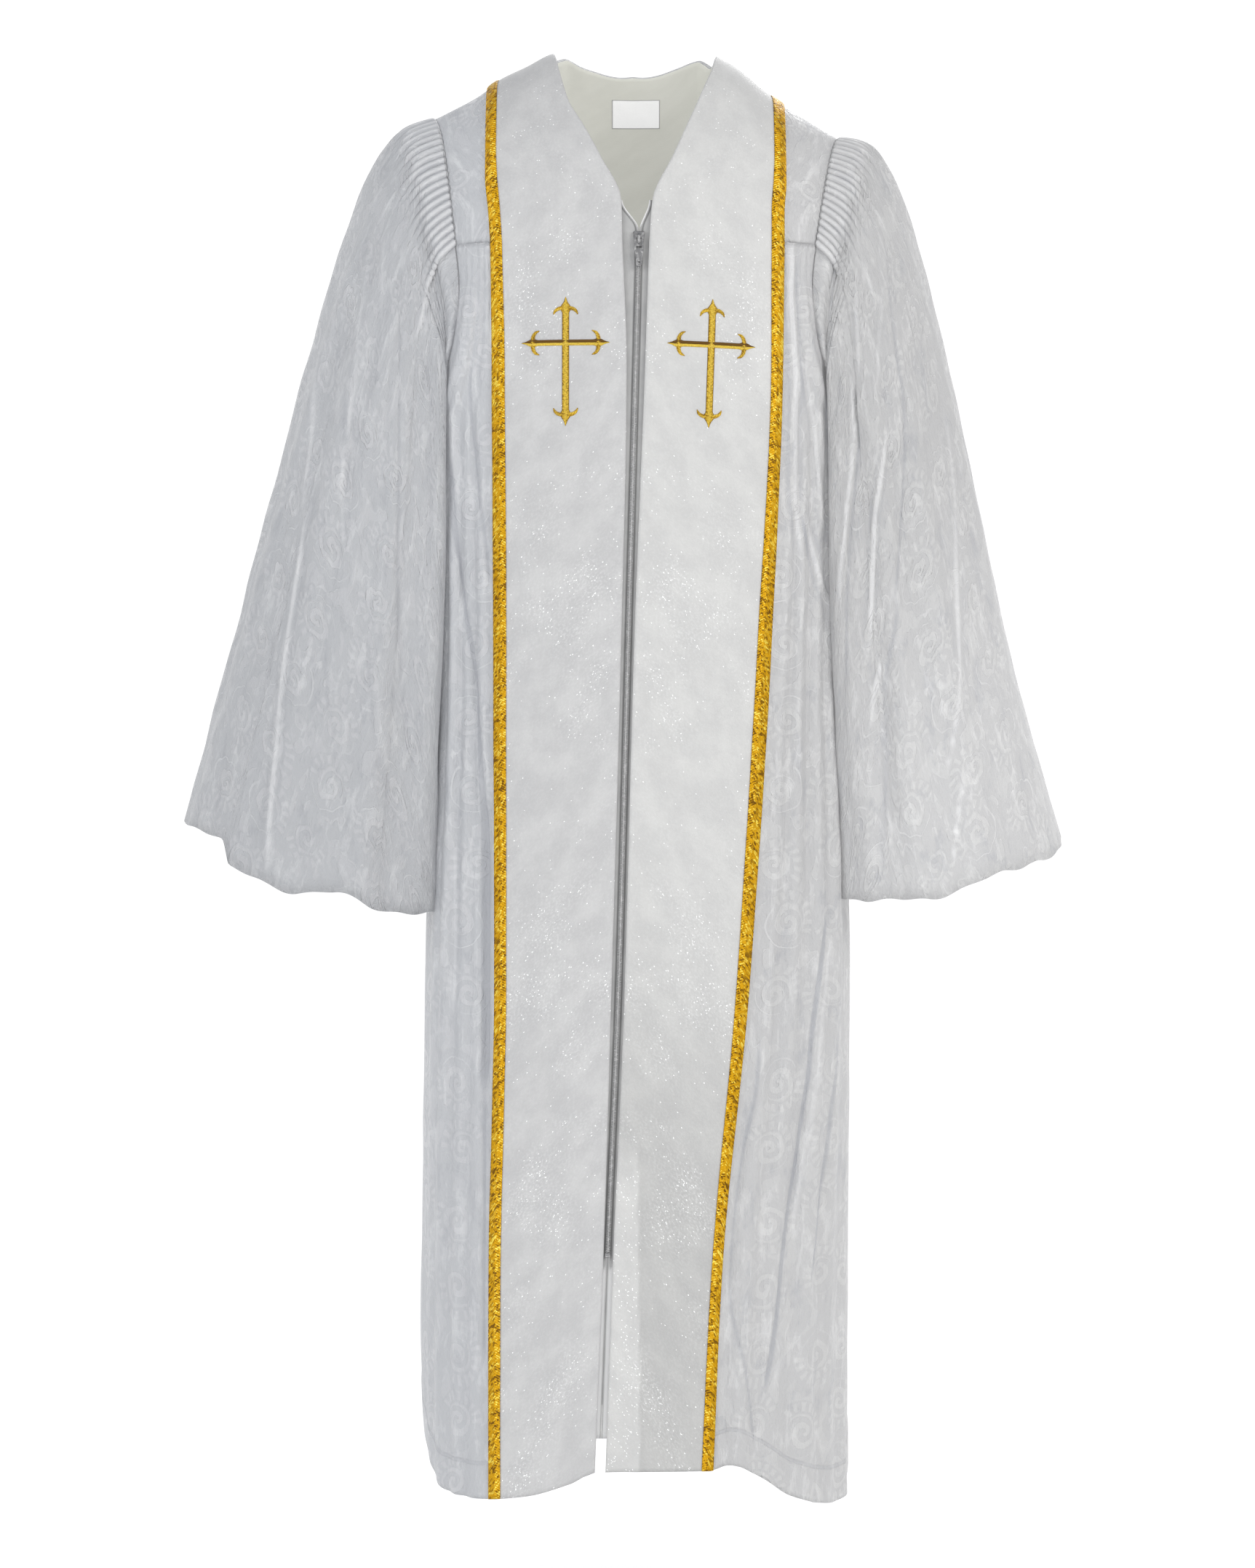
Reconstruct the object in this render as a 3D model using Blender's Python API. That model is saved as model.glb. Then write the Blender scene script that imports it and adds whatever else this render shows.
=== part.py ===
"""Pulpit robe: brocade body, yokes and fluted bell sleeves, glitter front panels
with gold braid and a cross each, and a front zip with a swinging pull tab.

Metres, +Z up. The robe faces -Y and +X is the viewer's right, so "left" and
"right" in every name are the viewer's. The origin is the middle of the neck
opening, at the height where the yokes rest on the wearer's shoulders.
"""

import math

import bmesh
import bpy
import numpy as np
from mathutils import Matrix, Vector
from mathutils.bvhtree import BVHTree

MM = 0.001

# Driving sizes
CLOTH = 1.5 * MM
PANEL = 1.2 * MM
BRAID = 1.0 * MM
GAP = 0.3 * MM
YOKE_LEVEL = -172 * MM
UNDERARM_LEVEL = -335 * MM
HEM_LEVEL = -1330 * MM
HEM_SWEEP_START = -900 * MM
RING_POWER = 2.5
YOKE_CORNER_TURN = 56.6
ARMHOLE_CURVE = 2.2
NECK_LEFT = -77 * MM
NECK_RIGHT = 80 * MM
NECK_DIP = 0.44
FLUTES_PER_FACE = 21
FLUTE_RISE = 2.2 * MM
LOW_ARMHOLE_STEPS = 5


class Table:
    """Rows of sizes, the first column the key, read smoothly between the rows."""

    def __init__(self, columns, rows):
        self.columns = columns
        self.values = np.array(rows, dtype=float)

    def read(self, column, key):
        keys = self.values[:, 0]
        values = self.values[:, self.columns.index(column)]
        key = min(max(key, keys[0]), keys[-1])
        spans = np.diff(keys)
        slopes = np.diff(values) / spans
        tangents = np.zeros(len(keys))
        tangents[0] = slopes[0]
        tangents[-1] = slopes[-1]
        for index in range(1, len(keys) - 1):
            before, after = slopes[index - 1], slopes[index]
            if before * after > 0:
                tangents[index] = 2 * before * after / (before + after)
        index = min(int(np.searchsorted(keys, key, side="right")) - 1, len(spans) - 1)
        span = spans[index]
        t = (key - keys[index]) / span
        ease = t * t * (3 - 2 * t)
        start_pull = t * (1 - t) ** 2 * span * tangents[index]
        end_pull = t * t * (t - 1) * span * tangents[index + 1]
        return float(values[index] * (1 - ease) + values[index + 1] * ease + start_pull + end_pull)


# Body rings, in millimetres: half widths to each side and depths front and back
TORSO = Table(("level", "left", "right", "front", "back"), (
    (-1360, 198, 203, 163, 160),
    (-1256, 202, 203, 159, 157),
    (-1090, 200, 204, 151, 150),
    (-840, 197, 206, 144, 141),
    (-550, 185, 194, 136, 128),
    (-335, 188, 195, 127, 122),
    (-172, 200, 206, 110, 118),
))

# Height of the shoulder ridge over the distance from the middle, in millimetres;
# the back rises further behind the neck
RIDGE = Table(("out", "left", "right", "back_rise"), (
    (0, 30, 30, 36),
    (34, 26, 29, 35),
    (50, 22, 27, 30),
    (76, 18, 17, 0),
    (100, 6, 3, 0),
    (125, -6, -18, 0),
    (150, -23, -35, 0),
    (175, -36, -50, 0),
    (200, -48, -64, 0),
))

# Front edges and braid over the yokes, by the turn from the yoke seam to the ridge
YOKE_EDGES = Table(
    ("turn", "left_edge", "left_braid", "left_side", "right_edge", "right_braid", "right_side"), (
        (0.00, -10, -122, -133, 15, 129, 141),
        (0.12, -11, -124, -135, 18, 129, 141),
        (0.26, -30, -127, -138, 37, 131, 143),
        (0.38, -46, -128, -138, 51, 132, 143),
        (0.50, -61, -128, -138, 62, 132, 143),
        (0.72, -71, -128, -138, 75, 132, 143),
        (1.00, -77, -127, -137, 80, 130, 142),
    ))

# The same edges down the body, in millimetres by level
BODY_EDGES = Table(
    ("level", "left_edge", "left_braid", "left_side", "right_edge", "right_braid", "right_side"), (
        (-1345, -36, -122, -133, -26, 62, 73),
        (-1140, -28, -122, -133, -19, 72, 82),
        (-871, -20, -117, -128, -8, 95, 107),
        (-547, -11, -117, -129, 1, 115, 128),
        (-292, -6, -119, -131, 11, 128, 139),
        (-172, -10, -122, -133, 15, 129, 141),
    ))

# Armhole seam on the yokes, out from the middle in millimetres
ARMHOLE = Table(("turn", "left", "right"), (
    (0.0, 167, 172),
    (0.5, 179, 186),
    (1.0, 192, 199),
))

# Hem height in millimetres by the turn in degrees from the front middle
HEM = Table(("turn", "height"), (
    (-180, -1306),
    (-130, -1297),
    (-105, -1283),
    (-90, -1272),
    (-78, -1287),
    (-69, -1316),
    (-60, -1338),
    (-45, -1345),
    (-30, -1341),
    (-17, -1328),
    (-10, -1317),
    (0, -1316),
    (20, -1316),
    (26, -1311),
    (33, -1320),
    (47, -1347),
    (62, -1360),
    (72, -1353),
    (80, -1333),
    (86, -1312),
    (93, -1300),
    (125, -1298),
    (180, -1306),
))

# Middle line of the zip, in millimetres by level
ZIP = Table(("level", "middle"), (
    (-1290, -30),
    (-1115, -23.5),
    (-871, -13.5),
    (-547, -4.5),
    (-292, 2.5),
    (-130, 6.5),
))

# Body folds between the braid (0) and the side seam (1): where each dips and
# crests, and how far the crest stands out at the yoke, waist and hem, in mm
FRONT_FOLDS = {
    "left": (
        (0.03, 0.11, 3.0, 8.0, 5.0),
        (0.19, 0.26, 3.5, 5.0, 8.0),
        (0.35, 0.45, 2.5, 10.0, 9.0),
        (0.54, 0.61, 2.0, 5.0, 4.0),
        (0.68, 0.77, 1.0, 3.0, 7.0),
        (0.87, 0.93, 0.3, 0.8, 2.0),
    ),
    "right": (
        (0.03, 0.10, 3.5, 6.0, 12.0),
        (0.17, 0.24, 3.0, 10.0, 4.0),
        (0.33, 0.43, 2.5, 6.0, 13.0),
        (0.52, 0.60, 2.0, 9.0, 6.0),
        (0.69, 0.77, 1.0, 3.0, 7.0),
        (0.87, 0.93, 0.3, 0.8, 2.0),
    ),
}
# The back's half, from its middle (0) to the side seam (1), used on both sides
BACK_FOLDS = (
    (0.00, 0.07, 3.0, 9.0, 13.0),
    (0.14, 0.21, 3.0, 7.0, 10.0),
    (0.29, 0.37, 3.0, 10.0, 14.0),
    (0.45, 0.52, 2.5, 6.0, 9.0),
    (0.60, 0.67, 2.0, 8.0, 11.0),
    (0.75, 0.82, 1.0, 3.0, 6.0),
    (0.89, 0.94, 0.3, 0.8, 2.0),
)
WAIST_LEVEL = -650 * MM

BODY_LEVELS = (-172, -212, -253, -294, -335, -400, -500, -610, -720, -830, -940, -1050, -1150, -1245, -1330)
UNDERARM_ROW = BODY_LEVELS.index(UNDERARM_LEVEL / MM)
YOKE_TURNS = (0.0, 0.12, 0.26, 0.38, 0.52, 0.68, 0.84, 1.0)
PANEL_SHARES = (0.0, 1 / 3, 2 / 3, 1.0)
YOKE_SIDE_SHARES = (1 / 3, 2 / 3, 1.0)
NECK_COLUMNS = 16
CORNER_COLUMNS = 3
# Shares of the way from the neck edge to the yoke's outer edge, behind the ridge
YOKE_RINGS = (0.0, 0.145, 0.29, 0.43, 0.525, 0.683, 0.842, 1.0)
BRAID_RING = 3
BAND_RING = 4

# How a sleeve line leaves the armhole, by place round it: 0 at the ridge, 0.5 at
# the yoke corner, 1 under the arm. Out, apart, ahead and down in millimetres lead
# to the knee of the line; "apart" is forward on the front and backward on the
# back. "turn" is where the line ends round the cuff
SLEEVE_LINES = Table(
    ("place", "left_out", "right_out", "apart", "ahead", "left_down", "right_down", "turn"), (
        (0.00, 67, 60, 0, 0, 17, 5, 0.00),
        (0.25, 58, 53, 5, 2, 22, 20, 0.36),
        (0.50, 41, 38, 8, 5, 37, 37, 0.72),
        (0.75, 15, 15, 5, 18, 36, 36, 0.88),
        (1.00, 2, 2, 0, 30, 30, 30, 1.00),
    ))

# Cuff hem height in millimetres by the turn from the outer tip to the body side
CUFF = Table(("turn", "left_front", "left_back", "right_front", "right_back"), (
    (0.00, -716, -716, -731, -731),
    (0.15, -722, -722, -748, -737),
    (0.29, -734, -731, -759, -744),
    (0.33, -759, -734, -762, -746),
    (0.40, -771, -738, -765, -750),
    (0.50, -783, -744, -778, -756),
    (0.60, -782, -752, -790, -762),
    (0.70, -797, -764, -788, -768),
    (0.85, -803, -785, -791, -776),
    (1.00, -800, -800, -783, -783),
))
CUFF_OUTER = {"left": -429 * MM, "right": 409 * MM}
CUFF_INNER = {"left": -197 * MM, "right": 206 * MM}
BELL = {"left": 0.02, "right": 0.16}
CUFF_DEPTH = 88 * MM
CUFF_FORWARD = 66 * MM
UNDERARM_CLEAR = 4.5 * MM
SEAM_PUSH = 0.35 * MM

# Sleeve folds by the turn round the cuff: depth in front and behind, half width;
# the last one laps over the side of the body
SLEEVE_FOLDS = (
    (0.07, 3.0, 3.0, 0.05),
    (0.17, 7.0, 6.0, 0.06),
    (0.29, 5.0, 7.0, 0.06),
    (0.41, 8.0, 5.0, 0.07),
    (0.53, 6.0, 8.0, 0.06),
    (0.65, 8.0, 6.0, 0.07),
    (0.79, 5.0, 5.0, 0.07),
    (0.91, 8.0, 0.0, 0.09),
)
FLUTED_STEPS = (0.0, 0.10, 0.20, 0.30)
SMOOTH_STEPS = (0.39, 0.48, 0.57, 0.655, 0.74, 0.82, 0.91, 1.0)
FLUTE_FADE = {0.0: 1.0, 0.10: 1.0, 0.20: 0.9, 0.30: 0.5}

TAPE_TOP_LEVEL = -134 * MM
TAPE_MEET_LEVEL = -163 * MM
ZIP_END_LEVEL = -1286 * MM
CHAIN_TOP_LEVEL = -182 * MM
CHAIN_END_LEVEL = -1115 * MM
CHAIN_HALF = 2.2 * MM
TAPE_UNDERLAP = 8 * MM
TAPE_SINK = 0.8 * MM
TAPE = 1.0 * MM

SLIDER_LEVEL = -171.5 * MM
SLIDER_HEIGHT = 15 * MM
SLIDER_TOP_WIDTH = 11 * MM
SLIDER_FOOT_WIDTH = 8 * MM
SLIDER_DEPTH = 3.0 * MM
SLIDER_LIFT = 1.9 * MM
BRIDGE_WIDTH = 2.4 * MM
BRIDGE_BAR = 1.1 * MM
BRIDGE_RISE = 3.4 * MM
BRIDGE_SPAN = 9.0 * MM
PULL_BAR = 1.2 * MM
PULL_RISE = 1.3 * MM
PULL_LENGTH = 28 * MM
PULL_WIDTH = 8.6 * MM
PULL_FOOT = 5.6 * MM
PULL_WINDOW = 11.0 * MM
PULL_HOLE = 1.2 * MM

CROSS_CENTRES = {"left": (-63 * MM, -269 * MM, 0.0), "right": (73 * MM, -271 * MM, 2.0)}
CROSS_ARMS = {"up": 42 * MM, "down": 78 * MM, "side": 40.5 * MM}
CROSS_UPRIGHT = 3.7 * MM
CROSS_BEAM = 2.9 * MM
CROSS_RISE = 1.0 * MM

LABEL_SIZE = (47 * MM, 26.5 * MM)
LABEL_CENTRE = (3 * MM, -22.5 * MM)
LABEL = 0.8 * MM

SIDES = {"left": -1, "right": 1}
FRONT = -1
BACK = 1

# Finishes: base colour, metallic and roughness
FINISHES = {
    "brocade": ((0.62, 0.63, 0.65), 0.0, 0.45),
    "glitter_cloth": ((0.74, 0.73, 0.70), 0.0, 0.55),
    "gold_braid": ((0.72, 0.44, 0.07), 0.8, 0.35),
    "gold_thread": ((0.62, 0.40, 0.06), 0.4, 0.45),
    "plain_lining": ((0.57, 0.57, 0.52), 0.0, 0.80),
    "label_satin": ((0.88, 0.88, 0.87), 0.0, 0.60),
    "zip_tape": ((0.42, 0.42, 0.43), 0.0, 0.85),
    "zip_metal": ((0.55, 0.55, 0.56), 0.9, 0.30),
}


def finish(name):
    """The Principled material of one finish, made once."""
    found = bpy.data.materials.get(name)
    if found:
        return found
    colour, metallic, roughness = FINISHES[name]
    material = bpy.data.materials.new(name)
    material.use_nodes = True
    shader = material.node_tree.nodes["Principled BSDF"]
    shader.inputs["Base Color"].default_value = (*colour, 1.0)
    shader.inputs["Metallic"].default_value = metallic
    shader.inputs["Roughness"].default_value = roughness
    return material


def add_piece(name, bm, finish_name, location=(0, 0, 0)):
    """Turns a closed bmesh into a named object with its faces pointing out."""
    bmesh.ops.recalc_face_normals(bm, faces=bm.faces[:])
    mesh = bpy.data.meshes.new(name)
    bm.to_mesh(mesh)
    bm.free()
    mesh.shade_smooth()
    mesh.set_sharp_from_angle(angle=math.radians(50))
    piece = bpy.data.objects.new(name, mesh)
    piece.location = location
    mesh.materials.append(finish(finish_name))
    bpy.context.scene.collection.objects.link(piece)
    return piece


# Surfaces of the worn robe


def side_name(x):
    return "right" if x >= 0 else "left"


def half_width(side, level):
    return TORSO.read(side, level / MM) * MM


def ring_y(x, level, face):
    """Depth of the body ring at one place across it."""
    depth = TORSO.read("front" if face == FRONT else "back", level / MM) * MM
    share = min(abs(x) / half_width(side_name(x), level), 1.0)
    return face * depth * (1 - share ** RING_POWER) ** (1 / RING_POWER)


def ring_turn(x, level):
    """Turn in degrees from the middle of the ring's front or back to x."""
    share = max(-1.0, min(1.0, x / half_width(side_name(x), level)))
    return math.degrees(math.asin(share))


def smooth(t):
    t = min(max(t, 0.0), 1.0)
    return t * t * (3 - 2 * t)


def body_point(x, level, face):
    """A point of the body's surface, its level swept towards the uneven hem."""
    turn = ring_turn(x, level)
    if face == BACK:
        turn = math.copysign(180 - abs(turn), x)
    sweep = smooth((HEM_SWEEP_START - level) / (HEM_SWEEP_START - HEM_LEVEL))
    drop = HEM.read("height", turn) * MM - HEM_LEVEL
    return (x, ring_y(x, level, face), level + sweep * drop)


def yoke_point(x, turn, face):
    """A point of the arch from the yoke seam (turn 0) to the ridge (turn 1)."""
    top = RIDGE.read(side_name(x), abs(x) / MM)
    if face == BACK:
        top += RIDGE.read("back_rise", abs(x) / MM)
    angle = turn * math.pi / 2
    y = ring_y(x, YOKE_LEVEL, face) * math.cos(angle)
    z = YOKE_LEVEL + (top * MM - YOKE_LEVEL) * math.sin(angle)
    return (x, y, z)


def side_turn(level):
    """Turn of the armhole seam, and of the side seam below it."""
    way = min(1.0, (YOKE_LEVEL - level) / (YOKE_LEVEL - UNDERARM_LEVEL))
    return YOKE_CORNER_TURN + (90 - YOKE_CORNER_TURN) * way ** ARMHOLE_CURVE


def fold_places(folds):
    places = []
    for dip, crest, *_ in folds:
        places += [dip, crest]
    return places + [1.0]


def fold_rise(folds, place, level):
    """How far the cloth stands out of the plain ring, from its fold table."""
    for index, (dip, crest, top, waist, hem) in enumerate(folds):
        end = folds[index + 1][0] if index + 1 < len(folds) else 1.0
        if not dip <= place <= end:
            continue
        way = (place - dip) / (crest - dip) if place <= crest else (end - place) / (end - crest)
        if level > WAIST_LEVEL:
            depth = top + (waist - top) * smooth((YOKE_LEVEL - level) / (YOKE_LEVEL - WAIST_LEVEL))
        else:
            depth = waist + (hem - waist) * smooth((WAIST_LEVEL - level) / (WAIST_LEVEL - HEM_LEVEL))
        return depth * MM * smooth(way)
    return 0.0


# Walls


def grid_normals(points, inside, wrap=False):
    """Unit normals of a grid of points, pointing away from the inside."""
    down = np.gradient(points, axis=0)
    if wrap:
        across = np.roll(points, -1, axis=1) - np.roll(points, 1, axis=1)
    else:
        across = np.gradient(points, axis=1)
    normals = np.cross(down, across)
    normals /= np.linalg.norm(normals, axis=2, keepdims=True)
    if np.sum(normals * (points - inside)) < 0:
        normals = -normals
    return normals


def square_seam(normals, seam):
    """Makes the wall's edge face straight across a seam that runs along Y."""
    normals[seam][..., 1] = 0.0
    normals[seam] /= np.linalg.norm(normals[seam], axis=-1, keepdims=True)


def pull_in(points, edge, distance):
    """Moves one edge row or column of a grid towards its neighbour."""
    moved = points.copy()
    place, beside = {
        "first_row": (np.s_[0, :], np.s_[1, :]),
        "last_row": (np.s_[-1, :], np.s_[-2, :]),
        "first_column": (np.s_[:, 0], np.s_[:, 1]),
        "last_column": (np.s_[:, -1], np.s_[:, -2]),
    }[edge]
    step = points[beside] - points[place]
    moved[place] += distance * step / np.linalg.norm(step, axis=1, keepdims=True)
    return moved


def vertex_grid(bm, points):
    return [[bm.verts.new(point) for point in row] for row in points]


def skin(bm, grid, wrap=False):
    """Triangles over a grid of vertices, cut along the same diagonal."""
    columns = len(grid[0])
    for above, below in zip(grid, grid[1:]):
        for j in range(columns if wrap else columns - 1):
            k = (j + 1) % columns
            bm.faces.new((above[j], below[j], below[k]))
            bm.faces.new((above[j], below[k], above[k]))


def strip(bm, one, other, wrap=False):
    """Triangles between two equally long lines of vertices."""
    skin(bm, [one, other], wrap)


def wall(points, normals, inner, outer):
    """A closed sheet of cloth between two distances from a grid of points."""
    bm = bmesh.new()
    under = vertex_grid(bm, points + normals * inner)
    over = vertex_grid(bm, points + normals * outer)
    skin(bm, under)
    skin(bm, over)
    strip(bm, under[0], over[0])
    strip(bm, under[-1], over[-1])
    strip(bm, [row[0] for row in under], [row[0] for row in over])
    strip(bm, [row[-1] for row in under], [row[-1] for row in over])
    return bm


TORSO_INSIDE = np.array((0.0, 0.0, -0.5))


def edge_places(side, table, key):
    """Columns under the panel: its inner edge to its braid, and the braid's far side."""
    edge = table.read(side + "_edge", key) * MM
    braid = table.read(side + "_braid", key) * MM
    outer = table.read(side + "_side", key) * MM
    return [edge + (braid - edge) * share for share in PANEL_SHARES] + [outer]


def panel_zone(side):
    """Points and normals under one panel, from the ridge to the hem."""
    rows = []
    for turn in reversed(YOKE_TURNS):
        rows.append([yoke_point(x, turn, FRONT) for x in edge_places(side, YOKE_EDGES, turn)])
    for level in BODY_LEVELS[1:]:
        places = edge_places(side, BODY_EDGES, level)
        rows.append([body_point(x, level * MM, FRONT) for x in places])
    points = np.array(rows)
    normals = grid_normals(points, TORSO_INSIDE)
    square_seam(normals, np.s_[0])
    return points, normals


def front_yoke(side, zone, zone_normals):
    """Yoke points from the neck edge to the armhole, rows from the ridge down."""
    rows = []
    for turn in reversed(YOKE_TURNS):
        places = edge_places(side, YOKE_EDGES, turn)
        armhole = SIDES[side] * ARMHOLE.read(side, turn) * MM
        places += [places[-1] + (armhole - places[-1]) * share for share in YOKE_SIDE_SHARES]
        rows.append([yoke_point(x, turn, FRONT) for x in places])
    points = np.array(rows)
    normals = grid_normals(points, TORSO_INSIDE)
    square_seam(normals, np.s_[0])
    columns = zone.shape[1]
    normals[:, :columns] = zone_normals[:len(YOKE_TURNS)]
    return points, normals


def front_body(side, zone_normals):
    """Body points from the zip to the side seam, rows from the yoke down."""
    rows = []
    rises = []
    folds = FRONT_FOLDS[side]
    for level in BODY_LEVELS:
        z = level * MM
        places = edge_places(side, BODY_EDGES, level)
        rise = [0.0] * len(places)
        first = abs(ring_turn(places[-1], z))
        last = side_turn(z)
        for share in fold_places(folds):
            turn = math.radians(first + (last - first) * share)
            places.append(SIDES[side] * half_width(side, z) * math.sin(turn))
            rise.append(fold_rise(folds, share, z))
        rows.append([body_point(x, z, FRONT) for x in places])
        rises.append(rise)
    points = np.array(rows)
    plain = grid_normals(points, TORSO_INSIDE)
    points = points + plain * np.array(rises)[:, :, None]
    normals = grid_normals(points, TORSO_INSIDE)
    square_seam(normals, np.s_[UNDERARM_ROW:, -1])
    columns = zone_normals.shape[1]
    normals[:, :columns] = zone_normals[len(YOKE_TURNS) - 1:]
    return points, normals


def back_body():
    """Back points from the left side seam to the right one."""
    shares = [-place for place in reversed(fold_places(BACK_FOLDS))]
    shares += fold_places(BACK_FOLDS)[1:]
    rows = []
    rises = []
    for level in BODY_LEVELS:
        z = level * MM
        last = side_turn(z)
        row = []
        for share in shares:
            side = side_name(share)
            x = half_width(side, z) * math.sin(math.radians(last * share))
            row.append(body_point(x, z, BACK))
        rows.append(row)
        rises.append([fold_rise(BACK_FOLDS, abs(share), z) for share in shares])
    points = np.array(rows)
    plain = grid_normals(points, TORSO_INSIDE)
    points = points + plain * np.array(rises)[:, :, None]
    normals = grid_normals(points, TORSO_INSIDE)
    for seam in (0, -1):
        square_seam(normals, np.s_[UNDERARM_ROW:, seam])
    return points, normals


def back_yoke():
    """Yoke points behind the ridge: rows from the neck edge out, columns round the neck."""
    columns = []
    for j in range(NECK_COLUMNS + 1):
        angle = math.pi * j / NECK_COLUMNS
        middle = (NECK_LEFT + NECK_RIGHT) / 2
        neck_x = middle - (NECK_RIGHT - NECK_LEFT) / 2 * math.cos(angle)
        neck_turn = 1 - NECK_DIP * math.sin(angle)
        from_end = min(j, NECK_COLUMNS - j)
        side = "left" if j <= NECK_COLUMNS / 2 else "right"
        if from_end <= CORNER_COLUMNS:
            outer_turn = 1 - from_end / CORNER_COLUMNS
            outer_x = SIDES[side] * ARMHOLE.read(side, outer_turn) * MM
        else:
            outer_turn = 0.0
            way = (j - CORNER_COLUMNS) / (NECK_COLUMNS - 2 * CORNER_COLUMNS)
            left = -ARMHOLE.read("left", 0.0) * MM
            right = ARMHOLE.read("right", 0.0) * MM
            outer_x = left + (right - left) * way
        columns.append([
            yoke_point(
                neck_x + (outer_x - neck_x) * ring,
                neck_turn + (outer_turn - neck_turn) * ring,
                BACK,
            )
            for ring in YOKE_RINGS
        ])
    points = np.array(columns).transpose(1, 0, 2)
    normals = grid_normals(points, TORSO_INSIDE)
    for seam in (0, -1):
        square_seam(normals, np.s_[:, seam])
    return points, normals


# Sleeves


def walk(line, count):
    """Evenly spaced points along a line, with the normals that its rows also hold."""
    lengths = np.linalg.norm(np.diff(line[:, :3], axis=0), axis=1)
    travelled = np.concatenate(([0.0], np.cumsum(lengths)))
    wanted = np.linspace(0.0, travelled[-1], count + 1)
    return np.stack([np.interp(wanted, travelled, values) for values in line.T], axis=1)


def armhole_ring(side, yoke, body, rear_yoke, rear):
    """Seam points and normals round one armhole, two points to a flute.

    Each piece comes as its points and normals. Each seam point has its place
    round the armhole and the face of the robe that it is on.
    """
    yoke, body, rear_yoke, rear = (np.concatenate(piece, axis=2) for piece in (yoke, body, rear_yoke, rear))
    rear_end = -1 if side == "right" else 0
    corner = np.s_[-1, -CORNER_COLUMNS - 1:] if side == "right" else np.s_[-1, CORNER_COLUMNS::-1]
    stretches = (
        (yoke[:, -1], 2 * FLUTES_PER_FACE, 0.0, 0.5, FRONT),
        (body[:UNDERARM_ROW + 1, -1], 2 * LOW_ARMHOLE_STEPS, 0.5, 1.0, FRONT),
        (rear[UNDERARM_ROW::-1, rear_end], 2 * LOW_ARMHOLE_STEPS, 1.0, 0.5, BACK),
        (rear_yoke[corner], 2 * FLUTES_PER_FACE, 0.5, 0.0, BACK),
    )
    ring = []
    for line, count, start, stop, face in stretches:
        for index, row in enumerate(walk(line, count)[:-1]):
            ring.append((row[:3], row[3:], start + (stop - start) * index / count, face))
    return ring


def cuff_point(side, turn, face):
    outer, inner = CUFF_OUTER[side], CUFF_INNER[side]
    x = (outer + inner) / 2 + (outer - inner) / 2 * math.cos(math.pi * turn)
    y = face * CUFF_DEPTH * math.sin(math.pi * turn) - CUFF_FORWARD * turn
    z = CUFF.read(side + ("_front" if face == FRONT else "_back"), turn) * MM
    return np.array((x, y, z))


def sleeve_rise(turn, face, step):
    """Height of the long sleeve folds, which grow from the flutes to the cuff."""
    growth = smooth((step - FLUTED_STEPS[-1]) / 0.45)
    rise = 0.0
    for place, ahead, behind, width in SLEEVE_FOLDS:
        away = abs(turn - place) / width
        if away < 1:
            depth = ahead if face == FRONT else behind
            rise += depth * MM * math.cos(away * math.pi / 2) ** 2
    return rise * growth


def sleeve_grid(side, ring, steps):
    """Sleeve points: a row for each step from the armhole (0) to the cuff (1)."""
    rows = [[] for _ in steps]
    rises = [[] for _ in steps]
    for start, _, place, face in ring:
        out = SLEEVE_LINES.read(side + "_out", place) * MM
        apart = SLEEVE_LINES.read("apart", place) * MM
        ahead = SLEEVE_LINES.read("ahead", place) * MM
        down = SLEEVE_LINES.read(side + "_down", place) * MM
        turn = SLEEVE_LINES.read("turn", place)
        lead = np.array((SIDES[side] * out, face * apart - ahead, -down))
        clear = smooth((place - 0.42) / 0.25) * UNDERARM_CLEAR
        start = start + lead / np.linalg.norm(lead) * SEAM_PUSH + (SIDES[side] * clear, 0, 0)
        knee = start + lead
        end = cuff_point(side, turn, face)
        for row, rise, step in zip(rows, rises, steps):
            rest = 1 - step
            narrow = (-SIDES[side] * BELL[side] * (1 - turn) * step ** 8 * rest, 0, 0)
            row.append(rest ** 3 * start + 3 * step * rest * knee + step ** 3 * end + narrow)
            rise.append(sleeve_rise(turn, face, step))
    points = np.array(rows)
    inside = points.mean(axis=1, keepdims=True)
    plain = grid_normals(points, inside, wrap=True)
    points = points + plain * np.array(rises)[:, :, None]
    normals = grid_normals(points, inside, wrap=True)
    for column, (_, seam_normal, place, _) in enumerate(ring):
        own = smooth((place - 0.5) / 0.2)
        mixed = normals[0, column] * own + seam_normal * (1 - own)
        normals[0, column] = mixed / np.linalg.norm(mixed)
    return points, normals


def halve(bm, fine, coarse):
    """Triangles from a ring of vertices to one with half as many."""
    count = len(coarse)
    for j in range(count):
        k = (j + 1) % count
        left, crest, right = fine[2 * j], fine[2 * j + 1], fine[(2 * j + 2) % (2 * count)]
        bm.faces.new((left, crest, coarse[j]))
        bm.faces.new((crest, coarse[k], coarse[j]))
        bm.faces.new((crest, right, coarse[k]))


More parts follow.
